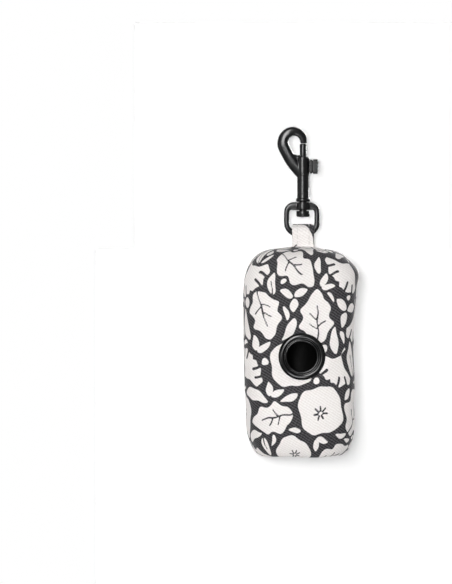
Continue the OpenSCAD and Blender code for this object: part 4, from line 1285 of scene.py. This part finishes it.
# The cast loop sits a little off its rivet's axis.
RING_OFF = 0.45
BOSS_R, RIVET_HOLE_R = 2.6, 1.45


def ring_stations():
    """Half of the ring's middle line, from the foot up to the top bar, mirrored into a closed
    loop of [x, z, half thickness]: a foot corner, an arm and a shoulder that thickens."""
    half_w = (ring_high[0] - ring_low[0]) / 2
    mid_x = half_w - RING_ARM
    foot, neck = RING_FOOT_R - RING_ARM, SHOULDER_R - RING_ARM
    foot_x, foot_z = mid_x - foot, ring_low[2] + RING_ARM + foot
    neck_x, neck_z = mid_x - neck, ring_high[2] - RING_BAR - neck
    a, b = np.radians(np.linspace(-90, 0, 30)), np.radians(np.linspace(0, 90, 24))
    right = np.concatenate([
        [[0, ring_low[2] + RING_ARM, RING_ARM]],
        np.stack([foot_x + foot * np.cos(a), foot_z + foot * np.sin(a), 0 * a + RING_ARM], 1),
        np.stack([neck_x + neck * np.cos(b), neck_z + neck * np.sin(b),
                  RING_ARM + (RING_BAR - RING_ARM) * (b / b[-1]) ** 2], 1),
        [[0, ring_high[2] - RING_BAR, RING_BAR]]])
    return evened(np.concatenate([right, right[-2:0:-1] * [-1, 1, 1]]), 0.3, 6, True)


ring_path = ring_stations() + [AXIS_X - RING_OFF, 0, 0]
ring_bar = swept(bar(ring_path, RING_DEPTH, BAR_POWER, 32, True), True)
bar_low_z = ring_high[2] - 2 * RING_BAR
boss = turned([(0, bar_low_z), (BOSS_R - 0.25, bar_low_z), (BOSS_R, bar_low_z + 0.25),
               (BOSS_R, ring_high[2] - 0.25), (BOSS_R - 0.25, ring_high[2]), (0, ring_high[2])],
              64, AXIS)
rivet_hole = turned([(0, bar_low_z - 1), (RIVET_HOLE_R, bar_low_z - 1),
                     (RIVET_HOLE_R, ring_high[2] + 1), (0, ring_high[2] + 1)], 56, AXIS)
ring_piece = new_object("swivel_ring_casting", *joined([ring_bar, boss]))
cast(ring_piece, 0.1, 12, paint, (rivet_hole,))
place_piece(ring_piece, "ring", "swivel_ring")

# %% [markdown]
# ## The port
# The port is a moulded grommet of black plastic. Its flange presses into the cloth, its sleeve
# goes through, and a washer inside clamps it. The flange is one profile, turned about the port's
# axis: a broad outer ridge, a groove, and a thin lip round the hole, each of which catches light.

# %% Port: flange and washer
FLANGE_PROUD = 1.25
SEAT_Y = flange_low[1] + FLANGE_PROUD
port_centre = np.array([POUCH_X, SEAT_Y, PORT_Z])
PORT_R, SLEEVE_R = 5.5, 6.3
SLEEVE_END = SEAT_Y - flange_high[1]
flange_profile = evened([
    (PORT_R, SLEEVE_END), (SLEEVE_R, SLEEVE_END), (SLEEVE_R, 0.0), (FLANGE_R - 0.1, 0.0),
    (FLANGE_R, 0.12), (FLANGE_R, 0.34), (FLANGE_R - 0.3, 0.78), (FLANGE_R - 0.8, 1.13),
    (FLANGE_R - 1.3, 1.27), (FLANGE_R - 1.72, 1.12), (FLANGE_R - 2.0, 0.78),
    (FLANGE_R - 2.3, 0.76), (SLEEVE_R - 0.12, 1.18), (SLEEVE_R - 0.3, 1.23), (PORT_R + 0.3, 1.19),
    (PORT_R + 0.08, 1.02), (PORT_R, 0.7)], 0.07, 5, True)
flange_piece = new_object("port_grommet", *turned(flange_profile, 200, port_centre, True),
                          [port_plastic])
place_piece(flange_piece, "pouch", "port_flange")

washer_low, washer_high = node_box("port_washer")
washer_h = washer_high[1] - washer_low[1]
washer_profile = evened([(SLEEVE_R + 0.01, 0), (8, 0), (8, washer_h), (SLEEVE_R + 0.01, washer_h)],
                        0.08, 3, True)
washer_piece = new_object("port_clamp_washer", *turned(
    washer_profile, 96, np.array([POUCH_X, washer_high[1], PORT_Z]), True), [port_plastic])
place_piece(washer_piece, "pouch", "port_washer")

# %% [markdown]
# ## Thread and tapes
# Thread is two plies twisted together, tape is a flat weave, and the zip's tape is a ribbed one.
# Each of these reads its direction from a UV map in millimetres: x along the piece, y across it.

# %% Helper and materials: thread, tape and zip tape


def woven_material(name, dark, light, threads, across, rough=0.85):
    """Woven or twisted yarn: bands along the piece cross bands over it. threads and across are
    the bands to a millimetre, and dark and light are the colours between and on the yarns: darker
    between them as painted shade, lighter on them as a painted highlight, with some random tone
    from noise."""
    material, tree, shader = new_material(name)
    uv = node(tree, "UVMap", uv_map="fine").outputs[0]
    parts = node(tree, "SeparateXYZ", Vector=uv).outputs
    along = maths(tree, "MULTIPLY_ADD", parts[0], 2 * math.pi * threads, 0.0)
    over = maths(tree, "MULTIPLY_ADD", parts[1], 2 * math.pi * across, 1.57)
    weave = maths(tree, "MULTIPLY", maths(tree, "SINE", along), maths(tree, "SINE", over))
    high = maths(tree, "MULTIPLY_ADD", weave, 0.5, noise(tree, uv, 6.0, 3.0))
    # Colour runs from dark between the yarns, painted shade, to light on them, a painted
    # highlight.
    feed(tree, shader, Base_Color=mixed(tree, spread(tree, high, 0.1, 0.9), dark, light),
         Normal=bumped(tree, 0.6, 0.05, high), Roughness=rough, Specular_IOR_Level=0.25,
         Sheen_Weight=0.15)
    return material


thread = woven_material("spun_thread", (0.52, 0.50, 0.48), (0.80, 0.78, 0.75), 2.6, 0.9, 0.7)
tape = woven_material("binding_weave", (0.012, 0.012, 0.014), (0.045, 0.045, 0.05), 1.8, 1.8)
zip_weave = woven_material("zip_tape_weave", (0.010, 0.010, 0.012), (0.04, 0.04, 0.044), 2.2, 1.1)


# Stitches follow each other at STITCH_STEP, and each is two STITCH_HALF long.
STITCH_STEP, STITCH_HALF = 2.3, 0.75


def stitch_row(name, source, starts, ends, outward, rise=0.2, thick=0.17):
    """Stitches as arcs of thread. Each leaves the cloth at its start, rises by rise and dives in
    at its end: height = rise * (2 sin(pi t)^0.6 - 1), so that its ends lie under the surface."""
    t = np.linspace(0, 1, 7)
    lift = rise * (2 * np.sin(np.pi * t) ** 0.6 - 1)
    span = ends - starts
    middle = starts[:, None] + span[:, None] * t[:, None] + outward[:, None] * lift[:, None]
    run = span / np.linalg.norm(span, axis=1, keepdims=True)
    side = np.cross(run, outward)
    c, s = power_round(8, 2)
    ring = outward[:, None, None] * c[:, None] + side[:, None, None] * s[:, None]
    tube = middle[:, :, None] + thick * ring
    parts = [swept(one) for one in tube]
    obj = new_object(name, *joined(parts), [thread])
    u = np.tile(np.concatenate([np.repeat(t * 1.6, 8), [0, 1.6]]), len(parts))
    v = np.tile(np.concatenate([np.tile(np.arange(8) / 8, 7), [0, 0]]), len(parts))
    fine_uv(obj, u + 0.5 * v, v)
    place_piece(obj, "pouch", source)


# %% [markdown]
# ## The hanging loop
# A strip of the same printed knit is folded in on both edges, wrapped round the foot of the ring
# and caught with both ends in the pouch's top seam. Two rows of stitches hold its folded edges.
# So it is one flat section, swept up the front leg, over the ring and down the back leg.

# %% Loop: the strip
loop_low, loop_high = node_box("hanging_loop")
LOOP_T, EYELET_R = 1.2, 1.967
SWING_Z = loop_high[2] - EYELET_R - LOOP_T
NECK_Z = -38.79
LOOP_HALF = (loop_high[0] - loop_low[0]) / 2
LOOP_X = (loop_low[0] + loop_high[0]) / 2
ROW_X = LOOP_HALF - 1.9
FOLD, THREAD_SINK = 0.5, 0.08


def loop_path():
    """Middle line of the strip in the plane y, z: up a leg, along the tangent to the eyelet's
    circle, over it, and down the other leg."""
    r = EYELET_R + LOOP_T / 2
    leg = LOOP_T / 2 + 0.01
    neck = np.array([-leg, NECK_Z - SWING_Z])
    touch = math.atan2(neck[1], neck[0]) - math.acos(r / np.hypot(*neck)) + 2 * math.pi
    a = np.linspace(touch, math.pi - touch, 60)
    over = np.stack([r * np.cos(a), r * np.sin(a) + SWING_Z], 1)
    low = [[-leg, loop_low[2]], [-leg, NECK_Z - 1], [-leg, NECK_Z]]
    high = [[leg, NECK_Z], [leg, NECK_Z - 1], [leg, loop_low[2]]]
    return evened(np.concatenate([low, over, high]), 0.25, 8)


strip = loop_path()
# Its section: two flat faces, dimpled by the stitches, between two rounded folds.
flat_w = np.linspace(-LOOP_HALF + FOLD, LOOP_HALF - FOLD, 30)
turn_a = np.linspace(-90, 90, 9)[1:-1]
edge_w = LOOP_HALF - FOLD + FOLD * np.cos(np.radians(turn_a))
edge_n = LOOP_T / 2 * np.sin(np.radians(turn_a))
dimple = 0.10 * np.exp(-((np.abs(flat_w) - ROW_X) / 0.3) ** 2)
section_w = np.concatenate([flat_w, edge_w, flat_w[::-1], -edge_w])
section_n = np.concatenate([-(LOOP_T / 2 - dimple), edge_n, LOOP_T / 2 - dimple[::-1], -edge_n])
heading = np.gradient(strip, axis=0)
heading /= np.linalg.norm(heading, axis=1, keepdims=True)
# Outward of the folded strip: away from the eyelet on the arc, and forward on the front leg.
strip_out = np.stack([-heading[:, 1], heading[:, 0]], 1)
strip_len = np.concatenate([[0], np.cumsum(np.linalg.norm(np.diff(strip, axis=0), axis=1))])
wobble = 0.06 * np.sin(0.9 * strip_len)[:, None] * np.sign(section_w)
sections = np.stack([LOOP_X + section_w + wobble, strip[:, :1] - strip_out[:, :1] * section_n,
                     strip[:, 1:] - strip_out[:, 1:] * section_n], -1)
loop_piece = new_object("loop_strip", *swept(sections), [printed])
# Where the strip was cut from the printed cloth.
LOOP_PRINT_U, LOOP_PRINT_V = 12.0, -22.0
loop_u = np.broadcast_to(section_w * np.sign(section_n + 1e-9) * -1, sections.shape[:2])
loop_v = np.broadcast_to(strip_len[:, None], sections.shape[:2])
write_print(loop_piece, print_value(loop_u + LOOP_PRINT_U, loop_v + LOOP_PRINT_V))
fine_uv(loop_piece, loop_u / 100, loop_v / 100, "cloth")
place_piece(loop_piece, "pouch", "hanging_loop")

# %% Loop: its stitches
LOOP_MARGIN = 1.6
row_at = np.arange(LOOP_MARGIN, strip_len[-1] - LOOP_MARGIN, STITCH_STEP)
# None lies in the middle, at the top of the fold over the ring.
row_at = row_at[np.abs(row_at - strip_len[-1] / 2) > 0.8]


def on_strip(length):
    """Point of the strip's outer face at a length along it, and the face's outward direction, as
    rows of y and z."""
    out = np.stack([np.interp(length, strip_len, c) for c in strip_out.T], 1)
    out /= np.linalg.norm(out, axis=1, keepdims=True)
    middle = np.stack([np.interp(length, strip_len, c) for c in strip.T], 1)
    return middle + out * (LOOP_T / 2 - THREAD_SINK), out


rows = []
for side in (-1, 1):
    (a, out), (b, _) = on_strip(row_at - STITCH_HALF), on_strip(row_at + STITCH_HALF)
    x = np.full((len(a), 1), LOOP_X + side * ROW_X)
    rows.append(np.hstack([x, a, x, b, 0 * x, out]))
rows = np.concatenate(rows)
stitch_row("loop_thread", "loop_stitching", rows[:, :3], rows[:, 3:6], rows[:, 6:], 0.13, 0.13)

# %% [markdown]
# ## The seam inside
# Where the panels meet, their edges turn in and a woven tape binds them. It is a ridge that runs
# all round the inside of the pouch in the seam's plane, with a row of stitches on each face.

# %% Seam: binding tape and its stitches
seam_v = np.linspace(0, PROFILE_V[-1], 260)
right = pouch_base(np.full_like(seam_v, SEAM_U), seam_v)[:, [0, 2]]
left = pouch_base(np.full_like(seam_v, -SEAM_U), seam_v)[:, [0, 2]]
BIND_HALF_H, BIND_HALF_W, BIND_STEP = 1.35, 1.45, 0.8
outline = evened(np.concatenate([right, left[::-1]]), BIND_STEP, 2, True)


def inset_loop(path, depth):
    """Closed path moved inward by depth along its own normals, with its kinks relaxed."""
    d = np.roll(path, -1, 0) - np.roll(path, 1, 0)
    d /= np.linalg.norm(d, axis=1, keepdims=True)
    return evened(path + depth * np.stack([-d[:, 1], d[:, 0]], 1), BIND_STEP, 10, True)


ridge = inset_loop(outline, WALL + 0.3 + BIND_HALF_H)
ridge_len = BIND_STEP * np.arange(len(ridge))
ridge = np.column_stack([ridge, BIND_HALF_H + 0.06 * np.sin(1.3 * ridge_len)])
binding_piece = new_object("seam_tape", *swept(bar(
    ridge, BIND_HALF_W + 0.05 * np.sin(0.9 * ridge_len), 3.2, 20, True), True), [tape])
fine_uv(binding_piece, np.repeat(ridge_len, 20), np.tile(np.arange(20) * 0.5, len(ridge)))
place_piece(binding_piece, "pouch", "seam_binding")

# The stitches run up both sides, and leave out the corners, where the tape bends.
STITCH_LOW, STITCH_TOP = -102.0, -54.0
rows = []
for side in (-1, 1):
    edge = ridge[(ridge[:, 0] - POUCH_X) * side > 0]
    edge = edge[np.argsort(edge[:, 1])]
    edge = edge[(edge[:, 1] > STITCH_LOW - 1) & (edge[:, 1] < STITCH_TOP + 1)]
    z = np.arange(STITCH_LOW, STITCH_TOP, 2 * STITCH_STEP)
    x = np.interp(z, edge[:, 1], edge[:, 0])
    for face in (-1, 1):
        rows.append(np.stack([x, 0 * z + face * (BIND_HALF_W + 0.03), z, 0 * z + face], 1))
rows = np.concatenate(rows)
half_stitch = np.array([0, 0, STITCH_HALF])
stitch_row("seam_thread", "seam_stitching", rows[:, :3] - half_stitch, rows[:, :3] + half_stitch,
           rows[:, 3:] * [[0, 1, 0]])

# %% [markdown]
# ## The zip
# The pouch opens at the back with a coarse moulded zip. Its two woven tapes lie inside the slit,
# each tooth is moulded over a tape's edge with a narrow waist and a broad head, and metal stops
# close both ends. The slider is cast. Its pull hangs from a low crown, with a pocket for a finger.

# %% Zip: tapes and teeth
TAPE_Y, TAPE_T, TAPE_EDGE, TAPE_W = tape_high[1], 0.55, 1.2, 7.5
TOOTH_Y = TAPE_Y - TAPE_T / 2
TOOTH_PITCH, TOOTH_H, TOOTH_LOW, TEETH_T = 2.2, 1.0, -101.385, 1.8


def zip_tape(name, side, replaced):
    """One tape: a flat rounded strip of ribbed weave along Z, which ripples very slightly."""
    z = np.linspace(tape_low[2], tape_high[2], 120)
    c, s = power_round(48, 9)
    x = POUCH_X + side * (TAPE_EDGE + TAPE_W / 2) + TAPE_W / 2 * c
    y = TOOTH_Y + TAPE_T / 2 * s * (1 - 0.12 * np.abs(c) ** 6)
    ripple = 0.02 * np.sin(0.7 * z)[:, None] * np.abs(c)
    grid = np.stack([x + 0 * ripple, y + ripple, z[:, None] + 0 * ripple], -1)
    obj = new_object(name, *swept(grid), [zip_weave])
    fine_uv(obj, grid[..., 2], grid[..., 0])
    place_piece(obj, "pouch", replaced)


def zip_teeth(name, side, replaced):
    """A row of teeth, each a sweep across the tape's edge: a rounded head past the middle line, a
    waist, and a clamp that grips the tape."""
    x = np.array([-0.5, -0.44, -0.25, 0.1, 0.45, 0.8, 1.15, 2.1, 2.26, 2.3])
    high = TOOTH_H / 2 * np.array([0.45, 0.8, 0.98, 1.0, 0.8, 0.72, 0.98, 1.0, 0.9, 0.7])
    deep = TEETH_T / 2 * np.array([0.5, 0.75, 0.9, 0.94, 0.9, 0.9, 0.98, 1.0, 0.94, 0.8])
    c, s = power_round(12, 4)
    one = np.stack([x[:, None] * side + 0 * c, TOOTH_Y + deep[:, None] * c, high[:, None] * s], -1)
    number = int((SLIT_TOP - SLIT_LOW - 3) / TOOTH_PITCH)
    z = TOOTH_LOW + TOOTH_PITCH * (np.arange(number) + (0.5 if side > 0 else 0)) + TOOTH_H / 2
    row = joined([swept(one + [POUCH_X, 0, lift]) for lift in z])
    place_piece(new_object(name, *row, [tooth_plastic]), "pouch", replaced)


zip_tape("zip_strip_left", -1, "zip_tape_left")
zip_tape("zip_strip_right", 1, "zip_tape_right")
zip_teeth("zip_row_left", -1, "zip_teeth_left")
zip_teeth("zip_row_right", 1, "zip_teeth_right")

# %% Zip: stops, slider, pull and stitches
recast("zip_end_clips", "zip_top_stops", "pouch", 0.05, 6)
recast("zip_foot_clip", "zip_bottom_stop", "pouch", 0.05, 6)
recast("zip_runner", "zip_slider", "slider", 0.085, 6)

# Each face of the pull has a shallow oval pocket: half its width and height, where its middle
# lies above the pull's foot, and its depth.
POCKET_W, POCKET_H, POCKET_Z, POCKET_DEEP = 1.25, 4.6, 7.4, 0.22
pull_low, pull_high = node_box("zip_pull")
pull_mid = (pull_low + pull_high) / 2
c, s = power_round(36, 2.2)
pockets = []
for face, y in ((-1, pull_low[1]), (1, pull_high[1])):
    shape = np.stack([pull_mid[0] + POCKET_W * c, 0 * c + y,
                      pull_low[2] + POCKET_Z + POCKET_H * s], -1)
    pockets.append(swept(np.stack([shape + [0, -POCKET_DEEP * face, 0], shape + [0, face, 0]])))
recast("zip_tab", "zip_pull", "pull", 0.075, 6, pockets)


def cloth_point(u, v, edge):
    """Point on the outer face of a panel, at a distance edge from its seam."""
    return pouch_base(u, v) + pouch_normal(u, v) * soft_shape(u, v, edge)[..., None]


ROW_EDGE = 1.6
row_z = np.arange(TOOTH_LOW + STITCH_HALF, SLIT_TOP - 2.0, STITCH_STEP)
rows = []
for side in (-1, 1):
    z = np.stack([row_z - STITCH_HALF, row_z + STITCH_HALF])
    v = np.interp(z, PROFILE[:, HEIGHT], PROFILE_V)
    u = side * (BACK_MID_U - SLIT_HALF - ROW_EDGE) + 0 * v
    rows.append([*cloth_point(u, v, ROW_EDGE), pouch_normal(u[0], v[0])])
stitch_row("zip_thread", "zip_stitching", *np.concatenate(rows, axis=1), 0.16, 0.15)

# %% [markdown]
# ## The roll of bags
# The bags are wound on a cardboard tube. The winding is not even: each layer of thin black film
# stands a little more or less proud at the ends, and the last turn ends in a loose edge along the
# roll, with creases where the film was pulled tight. The core is spiral-wound kraft board.

# %% Roll: materials
roll_low, roll_high = node_box("bag_roll")
ROLL_X, ROLL_Y = (roll_low[0] + roll_high[0]) / 2, (roll_low[1] + roll_high[1]) / 2


def about_roll(tree):
    """Nodes for the distance from the roll's axis, the angle about it and the height, in mm."""
    local = own_place(tree)
    centred = node(tree, "VectorMath", operation="SUBTRACT", at0=local, at1=(ROLL_X, ROLL_Y, 0.0))
    xyz = node(tree, "SeparateXYZ", Vector=centred.outputs[0]).outputs
    flat = node(tree, "CombineXYZ", X=xyz[0], Y=xyz[1])
    far = node(tree, "VectorMath", operation="LENGTH", at0=flat.outputs[0])
    return far.outputs["Value"], maths(tree, "ARCTAN2", xyz[1], xyz[0]), xyz[2], local


film, tree, shader = new_material("black_film")
far, angle, _, local = about_roll(tree)
# The layers show as a fine spiral on the ends, at LAYERS radians to a millimetre.
LAYERS = 17.0
layers = maths(tree, "SINE", maths(tree, "MULTIPLY_ADD", far, LAYERS, angle))
stretch = node(tree, "Mapping", Vector=local, Scale=(0.5, 0.5, 0.16))
creases = noise(tree, stretch.outputs[0], 2.0, 4.0, Distortion=0.6)
high = maths(tree, "MULTIPLY_ADD", layers, 0.12, creases)
# The film is near black: partly the bags' own black, and partly painted shade, darker than real
# film, so that the port's hole shows black.
feed(tree, shader, Base_Color=spread(tree, creases, 0, 1, 0.0008, 0.002),
     Roughness=spread(tree, creases, 0, 1, 0.42, 0.6), Normal=bumped(tree, 0.7, 0.12, high),
     Specular_IOR_Level=0.01)

kraft, tree, shader = new_material("kraft_board")
_, angle, height, local = about_roll(tree)
# The board's strip climbs 2.4 mm for each radian about the core, and its joint is a dark line.
CLIMB, HALF_STRIP, JOINT = 2.4, 7.54, 0.35
lap = maths(tree, "PINGPONG", maths(tree, "MULTIPLY_ADD", angle, CLIMB, height), HALF_STRIP)
seam = spread(tree, lap, 0.0, JOINT)
pulp = noise(tree, local, 1.6, 5.0, Roughness=0.65)
board = mixed(tree, spread(tree, pulp, 0.3, 0.7), (0.30, 0.205, 0.115), (0.47, 0.345, 0.215))
board = scaled(tree, board, spread(tree, seam, 0, 1, 0.55, 1.0))
high = maths(tree, "MULTIPLY_ADD", pulp, 0.4, seam)
feed(tree, shader, Base_Color=board, Normal=bumped(tree, 0.5, 0.08, high), Roughness=0.9)
print("materials:", film.name, kraft.name)

# %% Roll: wound film and core
ROLL_R, CORE_R, CORE_WALL = (roll_high[0] - roll_low[0]) / 2, 6.5, 0.9
ROLL_SIDES = 240
# The film dips below ROLL_R by SLACK and its creases, which rise by CREASE_TOP at most, and the
# wound spiral ends in a loose edge that is EDGE_STEP high, at the angle LOOSE_A.
SLACK, CREASE_TOP, EDGE_STEP, LOOSE_A = 0.14, 0.13, 0.16, 2.2
# How much further in some layers end than others.
UNEVEN = 0.45
rng = np.random.default_rng(7)
r_in = CORE_R + 0.06
outer_h = np.linspace(roll_low[2] + 0.25, roll_high[2] - 0.25, 90)
end_r = np.linspace(ROLL_R - 0.25, r_in, 14)
inner_h = np.linspace(roll_high[2] - 0.3, roll_low[2] + 0.3, 8)
ring_r = np.concatenate([0 * outer_h + ROLL_R, end_r, 0 * inner_h + r_in, end_r[::-1]])
ring_h = np.concatenate([outer_h, 0 * end_r + roll_high[2], inner_h, 0 * end_r + roll_low[2]])
skin_rows = np.concatenate([0 * outer_h + 1, 0 * end_r, 0 * inner_h, 0 * end_r])
uneven = np.concatenate([0 * outer_h, rng.uniform(0.0, UNEVEN, len(end_r)), 0 * inner_h,
                         -rng.uniform(0.0, UNEVEN, len(end_r))])
a = np.linspace(0, 2 * np.pi, ROLL_SIDES, endpoint=False)[None, :]
z = ring_h[:, None]
crease = sum(w * np.sin(k * a + f * z + p) for w, k, f, p in zip(
    rng.uniform(0.01, 0.03, 9), rng.integers(3, 17, 9), rng.uniform(-0.25, 0.25, 9),
    rng.uniform(0, 6.28, 9)))
wound = EDGE_STEP * ((a - LOOSE_A) / (2 * np.pi) % 1)
dip = SLACK + np.minimum(crease, CREASE_TOP) + wound
radius = ring_r[:, None] - skin_rows[:, None] * dip
lean = uneven[:, None] * (0.8 + 0.2 * np.sin(3 * a + 9 * ring_r[:, None]))
roll_grid = np.stack([ROLL_X + radius * np.cos(a), ROLL_Y + radius * np.sin(a), z - lean], -1)
roll_points = roll_grid.reshape(-1, 3)
roll_piece = new_object("wound_bags", roll_points, facing_out(roll_points, [
    grid_faces(*roll_grid.shape[:2], True, True)]), [film])
place_piece(roll_piece, "roll", "bag_roll")

core_profile = evened([(CORE_R - CORE_WALL, roll_low[2]), (CORE_R, roll_low[2]),
                       (CORE_R, roll_high[2]), (CORE_R - CORE_WALL, roll_high[2])], 0.2, 2, True)
core_piece = new_object("kraft_core", *turned(core_profile, 120, np.array([ROLL_X, ROLL_Y, 0])),
                        [kraft])
place_piece(core_piece, "roll", "roll_core")
